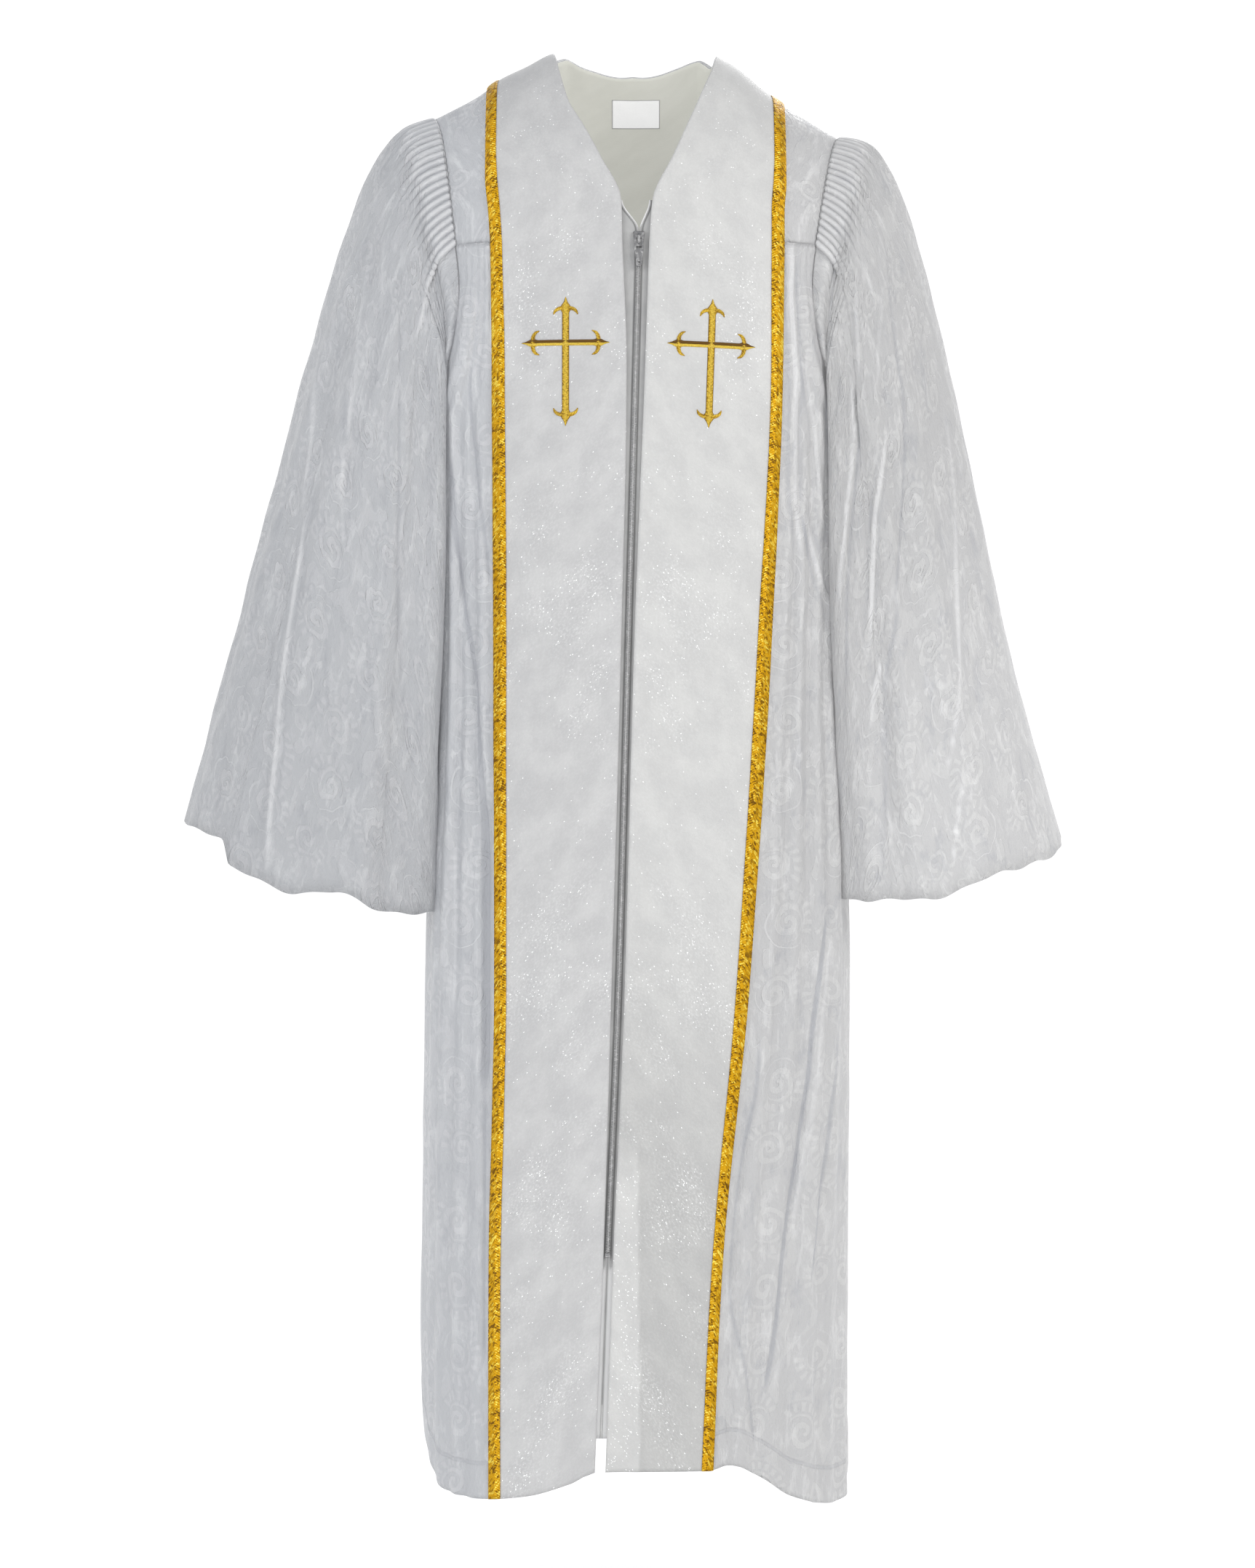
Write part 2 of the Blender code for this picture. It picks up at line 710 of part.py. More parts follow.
def sleeve(side, ring):
    """A sleeve whose outer skin is fluted at the head over a plain inner skin."""
    steps = FLUTED_STEPS + SMOOTH_STEPS
    points, normals = sleeve_grid(side, ring, steps)
    fluted = len(FLUTED_STEPS)
    outer = points + normals * CLOTH
    for row, step in enumerate(FLUTED_STEPS):
        for column, (_, _, place, _) in enumerate(ring):
            if column % 2 and place < 0.5:
                outer[row, column] += normals[row, column] * FLUTE_RISE * FLUTE_FADE[step]
    bm = bmesh.new()
    head = vertex_grid(bm, outer[:fluted])
    arm = vertex_grid(bm, outer[fluted:, ::2])
    inner = vertex_grid(bm, points[:, ::2])
    skin(bm, head, wrap=True)
    halve(bm, head[-1], arm[0])
    skin(bm, arm, wrap=True)
    skin(bm, inner, wrap=True)
    halve(bm, head[0], inner[0])
    strip(bm, arm[-1], inner[-1], wrap=True)
    add_piece("sleeve_" + side, bm, "brocade")


# Trimmings


def skin_tree(points):
    """A surface to drop trimmings onto, with the same triangles as the wall."""
    bm = bmesh.new()
    skin(bm, vertex_grid(bm, points))
    tree = BVHTree.FromBMesh(bm)
    bm.free()
    return tree


def drop(tree, x, z, lift):
    """The surface's y at one place seen from the front, lifted towards the viewer."""
    hit = tree.ray_cast(Vector((x, -1.0, z)), Vector((0.0, 1.0, 0.0)))[0]
    return hit.y - lift


def raise_flat(bm, tree, rise):
    """Thickens a flat drawing in X and Z and lays it on a surface."""
    lower = bm.verts[:]
    raised = bmesh.ops.extrude_face_region(bm, geom=bm.faces[:])["geom"]
    upper = [item for item in raised if isinstance(item, bmesh.types.BMVert)]
    for vert in lower:
        vert.co.y = drop(tree, vert.co.x, vert.co.z, GAP)
    for vert in upper:
        vert.co.y = drop(tree, vert.co.x, vert.co.z, GAP + rise)


def cross_arm(bm, length, half, turn, bar_steps):
    """One arm: bar, two horns curling back to the middle, and a spear point."""
    neck = length - 19 * MM
    root = CROSS_UPRIGHT if turn in (90, 270) else CROSS_BEAM
    places = [root + (neck - root) * step / bar_steps for step in range(bar_steps + 1)]
    outline = [(place, half) for place in places]
    outline += [(length - 14 * MM, half * 1.1), (length - 8 * MM, 3.6 * MM), (length, 0.6 * MM)]
    spin = Matrix.Rotation(math.radians(-turn), 3, "Y")

    def corner(along, across):
        return bm.verts.new(spin @ Vector((across, 0.0, along)))

    left = [corner(along, -across) for along, across in outline]
    right = [corner(along, across) for along, across in outline]
    for index in range(len(outline) - 1):
        bm.faces.new((left[index], right[index], right[index + 1], left[index + 1]))
    horn = ((length - 18 * MM, length - 13 * MM, 7 * MM), (length - 23 * MM, length - 21 * MM, 11 * MM))
    for line, sign in ((left, -1), (right, 1)):
        low, high = line[bar_steps], line[bar_steps + 1]
        for near, far, across in horn:
            next_low, next_high = corner(near, sign * across), corner(far, sign * across)
            bm.faces.new((low, high, next_high, next_low))
            low, high = next_low, next_high


def cross(side, tree):
    x, z, tilt = CROSS_CENTRES[side]
    bm = bmesh.new()
    cross_arm(bm, CROSS_ARMS["up"], CROSS_UPRIGHT, 0, 2)
    cross_arm(bm, CROSS_ARMS["side"], CROSS_BEAM, 90, 3)
    cross_arm(bm, CROSS_ARMS["down"], CROSS_UPRIGHT, 180, 5)
    cross_arm(bm, CROSS_ARMS["side"], CROSS_BEAM, 270, 3)
    bmesh.ops.remove_doubles(bm, verts=bm.verts[:], dist=0.01 * MM)
    corners = [vert for vert in bm.verts if vert.co.length < 1.3 * CROSS_UPRIGHT]
    bmesh.ops.contextual_create(bm, geom=corners)
    bmesh.ops.triangulate(bm, faces=bm.faces[:])
    place = Matrix.Translation((x, 0.0, z)) @ Matrix.Rotation(math.radians(tilt), 4, "Y")
    bmesh.ops.transform(bm, matrix=place, verts=bm.verts[:])
    raise_flat(bm, tree, CROSS_RISE)
    add_piece("cross_" + side, bm, "gold_thread")


def label(tree):
    bm = bmesh.new()
    bmesh.ops.create_grid(bm, x_segments=4, y_segments=2, size=0.5)
    for vert in bm.verts:
        across, up = vert.co.x * LABEL_SIZE[0], vert.co.y * LABEL_SIZE[1]
        vert.co = (LABEL_CENTRE[0] + across, 0.0, LABEL_CENTRE[1] + up)
    bmesh.ops.triangulate(bm, faces=bm.faces[:])
    raise_flat(bm, tree, LABEL)
    add_piece("label", bm, "label_satin")


def zip_levels(tops, end):
    """Rows for a zip strip: its top rows, the body levels under them and its end."""
    between = [level * MM for level in BODY_LEVELS if end + 5 * MM < level * MM < tops[-1] - 5 * MM]
    return [*tops, *between, end]


def zip_point(x, level):
    """A point of the front's surface at one level, above the yoke seam too."""
    if level > YOKE_LEVEL:
        top = RIDGE.read(side_name(x), abs(x) / MM) * MM
        turn = math.asin((level - YOKE_LEVEL) / (top - YOKE_LEVEL)) / (math.pi / 2)
        return yoke_point(x, turn, FRONT)
    return (x, ring_y(x, level, FRONT), level)


def zip_tape(side):
    """Tape from behind the front edge to the zip's middle, its top end folded away."""
    rows = []
    for level in zip_levels([TAPE_TOP_LEVEL, TAPE_MEET_LEVEL], ZIP_END_LEVEL):
        edge = BODY_EDGES.read(side + "_edge", level / MM) * MM
        middle = ZIP.read("middle", level / MM) * MM + SIDES[side] * GAP / 2
        hidden = edge + SIDES[side] * TAPE_UNDERLAP
        if level == TAPE_TOP_LEVEL:
            middle = edge
        rows.append([zip_point(x, level) for x in (middle, hidden)])
    points = np.array(rows)
    normals = grid_normals(points, TORSO_INSIDE)
    add_piece("zip_tape_" + side, wall(points, normals, -TAPE_SINK - TAPE, -TAPE_SINK), "zip_tape")


def zip_chain():
    rows = []
    for level in zip_levels([CHAIN_TOP_LEVEL], CHAIN_END_LEVEL):
        middle = ZIP.read("middle", level / MM) * MM
        rows.append([zip_point(middle + x, level) for x in (-CHAIN_HALF, CHAIN_HALF)])
    points = np.array(rows)
    normals = grid_normals(points, TORSO_INSIDE)
    add_piece("zip_chain", wall(points, normals, -TAPE_SINK + GAP, 1.0 * MM), "zip_metal")


def zip_frame(level, lift):
    """Place and tilt of a hard zip piece lying along the chain under it."""
    middle = ZIP.read("middle", level / MM) * MM
    here = Vector(zip_point(middle, level))
    below = Vector(zip_point(middle, level - 20 * MM))
    up = (here - below).normalized()
    side = Vector((1.0, 0.0, 0.0))
    up = (up - side * up.dot(side)).normalized()
    out = up.cross(side)
    if out.y > 0:
        out = -out
    frame = Matrix((side, -out, up)).transposed().to_4x4()
    frame.translation = here + out * lift
    return frame


def box(bm, size, centre, matrix):
    made = bmesh.ops.create_cube(bm, size=1.0)["verts"]
    shape = Matrix.Translation(centre) @ Matrix.Diagonal((*size, 1.0))
    bmesh.ops.transform(bm, matrix=matrix @ shape, verts=made)
    return made


def zip_stop():
    frame = zip_frame(CHAIN_END_LEVEL - 2.2 * MM, 0.0)
    bm = bmesh.new()
    box(bm, (4.6 * MM, 1.5 * MM, 3.0 * MM), (0, -0.5 * MM, 0), frame)
    add_piece("zip_stop", bm, "zip_metal")


def bent_bar(bm, path, width, thick, matrix):
    """A flat bar of one width along X, bent along a path in Y and Z."""
    path = [Vector((0.0, y, z)) for y, z in path]
    sections = []
    for index, point in enumerate(path):
        before = path[max(index - 1, 0)]
        after = path[min(index + 1, len(path) - 1)]
        along = (after - before).normalized()
        normal = Vector((0.0, -along.z, along.y)) * thick / 2
        section = []
        for x, push in ((-1, -1), (1, -1), (1, 1), (-1, 1)):
            corner = point + normal * push + Vector((x * width / 2, 0.0, 0.0))
            section.append(bm.verts.new(matrix @ corner))
        sections.append(section)
    for one, other in zip(sections, sections[1:]):
        for j in range(4):
            k = (j + 1) % 4
            bm.faces.new((one[j], one[k], other[k], other[j]))
    bm.faces.new(sections[0])
    bm.faces.new(sections[-1])


def zip_slider():
    """Slider body with the bridge that carries the pull tab."""
    frame = zip_frame(SLIDER_LEVEL, SLIDER_LIFT)
    bm = bmesh.new()
    verts = box(bm, (SLIDER_TOP_WIDTH, SLIDER_DEPTH, SLIDER_HEIGHT), (0, 0, 0), Matrix.Identity(4))
    for vert in verts:
        if vert.co.z < 0:
            vert.co.x *= SLIDER_FOOT_WIDTH / SLIDER_TOP_WIDTH
    bmesh.ops.bevel(
        bm, geom=bm.edges[:], offset=0.6 * MM, segments=1, profile=0.5, affect="EDGES", material=-1
    )
    bmesh.ops.transform(bm, matrix=frame, verts=bm.verts[:])
    body = add_piece("zip_slider", bm, "zip_metal")
    face = -SLIDER_DEPTH / 2
    sunk = face + 0.8 * MM
    rise = face - BRIDGE_RISE
    half = BRIDGE_SPAN / 2
    path = (
        (sunk, half), (face - 1.4 * MM, half), (rise, half - 2 * MM),
        (rise, 2 * MM - half), (face - 1.4 * MM, -half), (sunk, -half),
    )
    bm = bmesh.new()
    bent_bar(bm, path, BRIDGE_WIDTH, BRIDGE_BAR, frame)
    bridge = add_piece("bridge_cutter", bm, "zip_metal")
    bridge.hide_render = True
    bridge.display_type = "WIRE"
    join = body.modifiers.new("bridge", "BOOLEAN")
    join.operation = "UNION"
    join.solver = "EXACT"
    join.object = bridge


def pull_pivot():
    """Middle of the bar under the bridge, and the tilt of the zip there."""
    frame = zip_frame(SLIDER_LEVEL, SLIDER_LIFT)
    room = BRIDGE_RISE - BRIDGE_BAR / 2
    return frame, frame @ Vector((0.0, -SLIDER_DEPTH / 2 - room / 2, PULL_RISE))


def zip_pull():
    """Pull tab: a bar under the bridge, two arms, and a plate with a small hole."""
    frame, pivot = pull_pivot()
    tilt = frame.to_3x3().to_4x4()
    bm = bmesh.new()
    thick = PULL_BAR
    window = PULL_WIDTH - 3.4 * MM
    end = -PULL_LENGTH
    half_bar = PULL_BAR / 2
    outline = (
        (PULL_WIDTH / 2 - 0.8 * MM, half_bar),
        (PULL_WIDTH / 2, -half_bar),
        (PULL_WIDTH / 2, -PULL_WINDOW - 1.5 * MM),
        (PULL_FOOT / 2, end + 6 * MM),
        (PULL_FOOT / 2, end + 2.5 * MM),
        (PULL_FOOT / 2 - 1.2 * MM, end + 0.5 * MM),
        (0.7 * MM, end),
    )
    corners = [(x, z) for x, z in outline] + [(-x, z) for x, z in reversed(outline)]
    face = bm.faces.new([bm.verts.new((x, -thick / 2, z)) for x, z in corners])
    made = bmesh.ops.extrude_face_region(bm, geom=[face])["geom"]
    lifted = [item for item in made if isinstance(item, bmesh.types.BMVert)]
    bmesh.ops.translate(bm, verts=lifted, vec=(0.0, thick, 0.0))
    bmesh.ops.transform(bm, matrix=tilt, verts=bm.verts[:])
    pull = add_piece("zip_pull", bm, "zip_metal", location=pivot)
    cutter = bmesh.new()
    height = PULL_WINDOW - half_bar
    box(cutter, (window, 4 * thick, height), (0, 0, -half_bar - height / 2), tilt)
    hole = bmesh.ops.create_cone(
        cutter, cap_ends=True, segments=10, radius1=PULL_HOLE, radius2=PULL_HOLE, depth=4 * thick
    )["verts"]
    stand = Matrix.Translation((0, 0, end + 4 * MM)) @ Matrix.Rotation(math.pi / 2, 4, "X")
    bmesh.ops.transform(cutter, matrix=tilt @ stand, verts=hole)
    cut = add_piece("pull_cutter", cutter, "zip_metal", location=pivot)
    cut.hide_render = True
    cut.display_type = "WIRE"
    carve = pull.modifiers.new("window", "BOOLEAN")
    carve.operation = "DIFFERENCE"
    carve.solver = "EXACT"
    carve.object = cut


# The robe


def build_front(side, rear_yoke, rear):
    zone, zone_normals = panel_zone(side)
    yoke, yoke_normals = front_yoke(side, zone, zone_normals)
    body, body_normals = front_body(side, zone_normals)
    front = ((yoke, yoke_normals), (body, body_normals))
    sleeve(side, armhole_ring(side, *front, rear_yoke, rear))

    cut = yoke
    for edge in ("first_row", "last_row", "last_column"):
        cut = pull_in(cut, edge, GAP / 2)
    add_piece("front_yoke_" + side, wall(cut, yoke_normals, 0.0, CLOTH), "brocade")

    cut = pull_in(pull_in(body, "first_row", GAP / 2), "last_column", GAP / 2)
    add_piece("front_" + side, wall(cut, body_normals, 0.0, CLOTH), "brocade")

    low = CLOTH + GAP
    high = low + PANEL
    zone = pull_in(zone, "first_row", GAP / 2)
    add_piece("panel_" + side, wall(zone, zone_normals, low, high), "glitter_cloth")
    braid = wall(zone[:, -2:], zone_normals[:, -2:], high + GAP, high + GAP + BRAID)
    add_piece("braid_" + side, braid, "gold_braid")
    cross(side, skin_tree((zone + zone_normals * high)[:, :-1]))
    zip_tape(side)


def build_back():
    yoke, yoke_normals = back_yoke()
    body, body_normals = back_body()

    cut = yoke
    for edge in ("last_row", "first_column", "last_column"):
        cut = pull_in(cut, edge, GAP / 2)
    add_piece("back_yoke", wall(cut, yoke_normals, 0.0, CLOTH), "brocade")
    lining = wall(cut, yoke_normals, -GAP - 1.0 * MM, -GAP)
    add_piece("back_lining", lining, "plain_lining")
    label(skin_tree(cut - yoke_normals * (GAP + 1.0 * MM)))

    band, band_normals = cut[:BAND_RING + 1], yoke_normals[:BAND_RING + 1]
    low = CLOTH + GAP
    high = low + PANEL
    add_piece("panel_back", wall(band, band_normals, low, high), "glitter_cloth")
    edge = np.s_[BRAID_RING:BAND_RING + 1]
    braid = wall(band[edge], band_normals[edge], high + GAP, high + GAP + BRAID)
    add_piece("braid_back", braid, "gold_braid")

    cut = body
    for edge in ("first_row", "first_column", "last_column"):
        cut = pull_in(cut, edge, GAP / 2)
    add_piece("back", wall(cut, body_normals, 0.0, CLOTH), "brocade")
    return (yoke, yoke_normals), (body, body_normals)


def build_robe():
    for old in list(bpy.data.objects):
        bpy.data.objects.remove(old, do_unlink=True)
    rear_yoke, rear = build_back()
    for side in SIDES:
        build_front(side, rear_yoke, rear)
    zip_chain()
    zip_stop()
    zip_slider()
    zip_pull()


build_robe()
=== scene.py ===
"""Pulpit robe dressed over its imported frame: cloth, trimmings, zip, finishes, light, camera.

Metres, +Z up. The robe faces -Y and +X is the viewer's right, so "left" and
"right" are the viewer's. The origin is the middle of the neck opening, at the
height where the yokes rest on the wearer's shoulders.
"""

import logging
import math
from dataclasses import dataclass
from enum import Enum
from typing import Any, Sequence

import bmesh
import bpy
import numpy as np
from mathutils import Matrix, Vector
from mathutils.bvhtree import BVHTree


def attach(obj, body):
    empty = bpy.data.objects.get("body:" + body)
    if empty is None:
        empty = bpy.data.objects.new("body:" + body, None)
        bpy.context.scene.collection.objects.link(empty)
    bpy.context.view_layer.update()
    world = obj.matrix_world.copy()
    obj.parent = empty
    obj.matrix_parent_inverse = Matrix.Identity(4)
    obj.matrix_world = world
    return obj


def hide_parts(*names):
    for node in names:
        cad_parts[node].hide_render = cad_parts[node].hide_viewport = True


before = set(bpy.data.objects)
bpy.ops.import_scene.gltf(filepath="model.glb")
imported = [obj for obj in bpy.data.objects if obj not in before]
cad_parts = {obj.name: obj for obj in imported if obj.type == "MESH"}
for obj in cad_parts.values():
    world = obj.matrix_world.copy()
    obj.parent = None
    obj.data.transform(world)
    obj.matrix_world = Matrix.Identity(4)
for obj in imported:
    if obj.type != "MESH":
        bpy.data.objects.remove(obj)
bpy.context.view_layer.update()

LOG = logging.getLogger("pulpit_robe")

# Thicknesses, levels and counts that the pieces share
MM = 0.001
CLOTH = 1.5 * MM
PANEL = 1.2 * MM
BRAID = 1.0 * MM
BRAID_WALL = 0.45 * BRAID
GAP = 0.3 * MM
PANEL_TOP = CLOTH + GAP + PANEL
YOKE_LEVEL = -172 * MM
WAIST_LEVEL = -650 * MM
UNDERARM_LEVEL = -335 * MM
HEM_LEVEL = -1330 * MM
SWEEP_LEVEL = -900 * MM
HEM_DEPTH = 33 * MM
NECK_COLUMNS = 16
CORNER_COLUMNS = 3

Array = np.ndarray
Rows = tuple[tuple[float, ...], ...]
Colour = tuple[float, float, float]
Span = tuple[float, float]
Spot = tuple[float, float, float]
Piece = bpy.types.Object
Finish = bpy.types.Material
Socket = bpy.types.NodeSocket


class Side(Enum):
    """The viewer's left or right half of the robe."""

    LEFT = -1
    RIGHT = 1

    @property
    def word(self) -> str:
        """The side's name as it stands in piece names and tables."""
        return self.name.lower()


class Face(Enum):
    """The front or the back of the robe."""

    FRONT = -1
    BACK = 1


def smooth(t: Array | float) -> Array:
    """Eases a share from 0 to 1, level at both ends."""
    t = np.clip(t, 0.0, 1.0)
    return t * t * (3 - 2 * t)


def ease(value: Array | float, start: float, end: float) -> Array:
    """Eases from 0 where the value is at start to 1 where it is at end."""
    return smooth((value - start) / (end - start))


def hump(value: Array | float, place: float, width: float) -> Array:
    """A bell curve, 1 where the value is at the place."""
    return np.exp(-(((value - place) / width) ** 2))


def grey(value: float) -> Colour:
    """An even grey."""
    return (value, value, value)


@dataclass(frozen=True)
class Table:
    """Rows of sizes, the first column the key, read smoothly between the rows."""

    columns: str
    rows: Rows

    def read(self, column: str, key: Array | float) -> Array:
        """Reads one column.

        Args:
            column: Name of the column.
            key: Where to read it, one value or many.

        Returns:
            The column's value at each key.
        """
        table = np.array(self.rows, dtype=float)
        keys = table[:, 0]
        values = table[:, self.columns.split().index(column)]
        key = np.clip(np.asarray(key, dtype=float), keys[0], keys[-1])
        spans = np.diff(keys)
        slopes = np.diff(values) / spans
        before, after = slopes[:-1], slopes[1:]
        turns = np.where(before * after > 0, before * after, 0.0)
        sums = np.where(turns > 0, before + after, 1.0)
        tangents = np.concatenate(([slopes[0]], 2 * turns / sums, [slopes[-1]]))
        place = np.clip(np.searchsorted(keys, key, side="right") - 1, 0, len(spans) - 1)
        t = (key - keys[place]) / spans[place]
        ease = t * t * (3 - 2 * t)
        pull = t * (1 - t) ** 2 * tangents[place] + t * t * (t - 1) * tangents[place + 1]
        return values[place] * (1 - ease) + values[place + 1] * ease + spans[place] * pull


@dataclass(frozen=True)
class Crease:
    """A ridge or groove pressed into hanging cloth, in millimetres.

    The line goes up the cloth as (level, across) and the crease falls away over
    its left and right widths. A negative rise is a groove.
    """

    rise: float
    left: float
    right: float
    line: Rows
    fade: float = 40.0
    press: float = 0.7

    def height(self, x: Array, z: Array) -> Array:
        """How far the crease lifts the cloth.

        Args:
            x: Places across the robe, in metres.
            z: Levels, in metres.

        Returns:
            The lift at each place, in metres.
        """
        level = z / MM
        way = x / MM - Table("level across", self.line).read("across", level)
        width = np.where(way < 0, self.left, self.right)
        low, high = self.line[0][0], self.line[-1][0]
        ends = smooth((level - low) / self.fade + 0.5) * smooth((high - level) / self.fade + 0.5)
        return self.rise * self.press * MM * hump(way, 0.0, width) * ends


# Sizes of the worn robe's form

TORSO = Table("level left right front back", (
    (-1360, 198, 203, 163, 160),
    (-1256, 202, 203, 159, 157),
    (-1090, 200, 204, 151, 150),
    (-840, 197, 206, 144, 141),
    (-550, 185, 194, 136, 128),
    (-335, 188, 195, 127, 122),
    (-172, 200, 206, 110, 118),
))
RIDGE = Table("out left right back_rise", (
    (0, 30, 30, 36), (34, 26, 29, 30), (50, 22, 27, 25), (63, 20, 22.5, 19),
    (70, 19, 19.5, 9), (76, 18, 17, 0), (100, 6, 3, 0), (125, -6, -18, 0),
    (150, -23, -35, 0), (175, -36, -50, 0), (200, -48, -64, 0),
))
YOKE_EDGES = Table("turn left_edge left_braid left_side right_edge right_braid right_side", (
    (0.00, -10, -122, -133, 15, 129, 141),
    (0.12, -11, -124, -135, 18, 129, 141),
    (0.26, -30, -127, -138, 37, 131, 143),
    (0.38, -46, -128, -138, 51, 132, 143),
    (0.50, -61, -128, -138, 62, 132, 143),
    (0.72, -71, -128, -138, 75, 132, 143),
    (1.00, -77, -127, -137, 80, 130, 142),
))
BODY_EDGES = Table("level left_edge left_braid left_side right_edge right_braid right_side", (
    (-1345, -36, -122, -133, -26, 62, 73),
    (-1140, -28, -122, -133, -19, 72, 82),
    (-871, -20, -117, -128, -8, 95, 107),
    (-547, -11, -117, -129, 1, 115, 128),
    (-292, -6, -119, -131, 11, 128, 139),
    (-172, -10, -122, -133, 15, 129, 141),
))
ARMHOLE = Table("turn left right", ((0.0, 167, 172), (0.5, 179, 186), (1.0, 192, 199)))
HEM = Table("turn height", (
    (-180, -1306), (-130, -1297), (-105, -1283), (-90, -1276), (-78, -1301), (-69, -1328),
    (-60, -1343), (-45, -1346), (-30, -1341), (-17, -1328), (-10, -1317), (0, -1316),
    (20, -1316), (26, -1311), (33, -1320), (46, -1344), (57, -1354), (68, -1357),
    (77, -1352), (83, -1338), (88, -1316), (94, -1300), (125, -1298), (180, -1306),
))
ZIP = Table("level middle", (
    (-1290, -30), (-1115, -23.5), (-871, -13.5), (-547, -4.5), (-292, 2.5), (-130, 6.5),
))

# Folds from the braid, or the middle of the back (0), to the side seam (1): where
# each dips and crests, and the crest's rise at the yoke, waist and hem
FRONT_FOLDS = {
    Side.LEFT: (
        (0.03, 0.11, 3.0, 8.0, 5.0), (0.19, 0.26, 3.5, 5.0, 6.0), (0.35, 0.45, 2.5, 10.0, 5.0),
        (0.54, 0.61, 2.0, 5.0, 2.0), (0.68, 0.77, 1.0, 3.0, 1.0), (0.87, 0.93, 0.3, 0.8, 0.2),
    ),
    Side.RIGHT: (
        (0.03, 0.10, 3.5, 6.0, 12.0), (0.17, 0.24, 3.0, 10.0, 4.0), (0.33, 0.43, 2.5, 6.0, 13.0),
        (0.52, 0.60, 2.0, 9.0, 6.0), (0.69, 0.77, 1.0, 3.0, 7.0), (0.87, 0.93, 0.3, 0.8, 2.0),
    ),
}
BACK_FOLDS = (
    (0.00, 0.07, 3.0, 9.0, 13.0), (0.14, 0.21, 3.0, 7.0, 10.0), (0.29, 0.37, 3.0, 10.0, 14.0),
    (0.45, 0.52, 2.5, 6.0, 9.0), (0.60, 0.67, 2.0, 8.0, 11.0), (0.75, 0.82, 1.0, 3.0, 6.0),
    (0.89, 0.94, 0.3, 0.8, 2.0),
)

BODY_CREASES = {
    Side.LEFT: (
        Crease(-4, 4, 3, (
            (-764, -136), (-710, -138), (-669, -140), (-628, -142), (-587, -146),
            (-553, -151), (-512, -157), (-478, -162), (-424, -168), (-383, -170),
        )),
        Crease(-12, 6, 7, ((-955, -139.5), (-866, -139), (-798, -139), (-700, -142))),
        Crease(-1.8, 2.5, 3, (
            (-492, -134), (-451, -138), (-410, -143), (-369, -148), (-328, -152), (-288, -153),
        )),
        Crease(1.4, 2, 2, ((-900, -168), (-819, -166), (-730, -167))),
        Crease(0.8, 2, 2, ((-1070, -179), (-1030, -179), (-996, -181))),
        Crease(0.8, 2, 2, ((-1098, -153), (-1050, -155), (-1016, -159), (-989, -166))),
        Crease(-2, 3, 3, ((-1213, -138), (-1138, -138), (-1036, -138), (-968, -138))),
    ),
    Side.RIGHT: (
        Crease(3, 3.5, 3.5, (
            (-465, 155), (-437, 153), (-396, 150), (-356, 150), (-315, 151),
            (-267, 150), (-219, 147), (-175, 148),
        )),
        Crease(1.6, 2, 2, ((-451, 180), (-410, 175), (-369, 172), (-328, 167), (-288, 162))),
        Crease(2.6, 2.5, 3, (
            (-618, 196), (-587, 190), (-553, 187), (-519, 182), (-485, 173), (-451, 165), (-424, 158),
        )),
        Crease(-2, 3, 3, ((-424, 185), (-383, 184), (-328, 182), (-274, 182))),
        Crease(-3.5, 2.5, 5, (
            (-1241, 122), (-1207, 127), (-1159, 133), (-1118, 137), (-1084, 142), (-1036, 150),
            (-989, 157), (-948, 163), (-900, 167), (-853, 173), (-812, 178),
        )),
        Crease(1.6, 5, 7, (
            (-1098, 145), (-1036, 155), (-968, 165), (-914, 171), (-866, 178), (-825, 184),
        )),
        Crease(-2.5, 2.5, 4, (
            (-1138, 163), (-1118, 167), (-1084, 171), (-1036, 178), (-982, 184), (-941, 188), (-900, 190),
        )),
        Crease(-1.8, 3, 3, (
            (-1298, 113), (-1261, 107), (-1220, 101), (-1186, 94), (-1145, 89), (-1104, 91),
            (-1064, 96), (-1016, 103), (-968, 113), (-921, 117),
        )),
        Crease(1.6, 7, 12, ((-1302, 114), (-1261, 120), (-1234, 128), (-1207, 144), (-1173, 165))),
    ),
}
PANEL_CREASES = {
    Side.LEFT: (Crease(1.5, 14, 14, ((-1077, -55), (-968, -58), (-866, -61), (-778, -63))),),
    Side.RIGHT: (Crease(1.6, 9, 4, ((-1319, 4), (-1207, 4), (-1138, 3), (-1064, 3), (-996, 2))),),
}
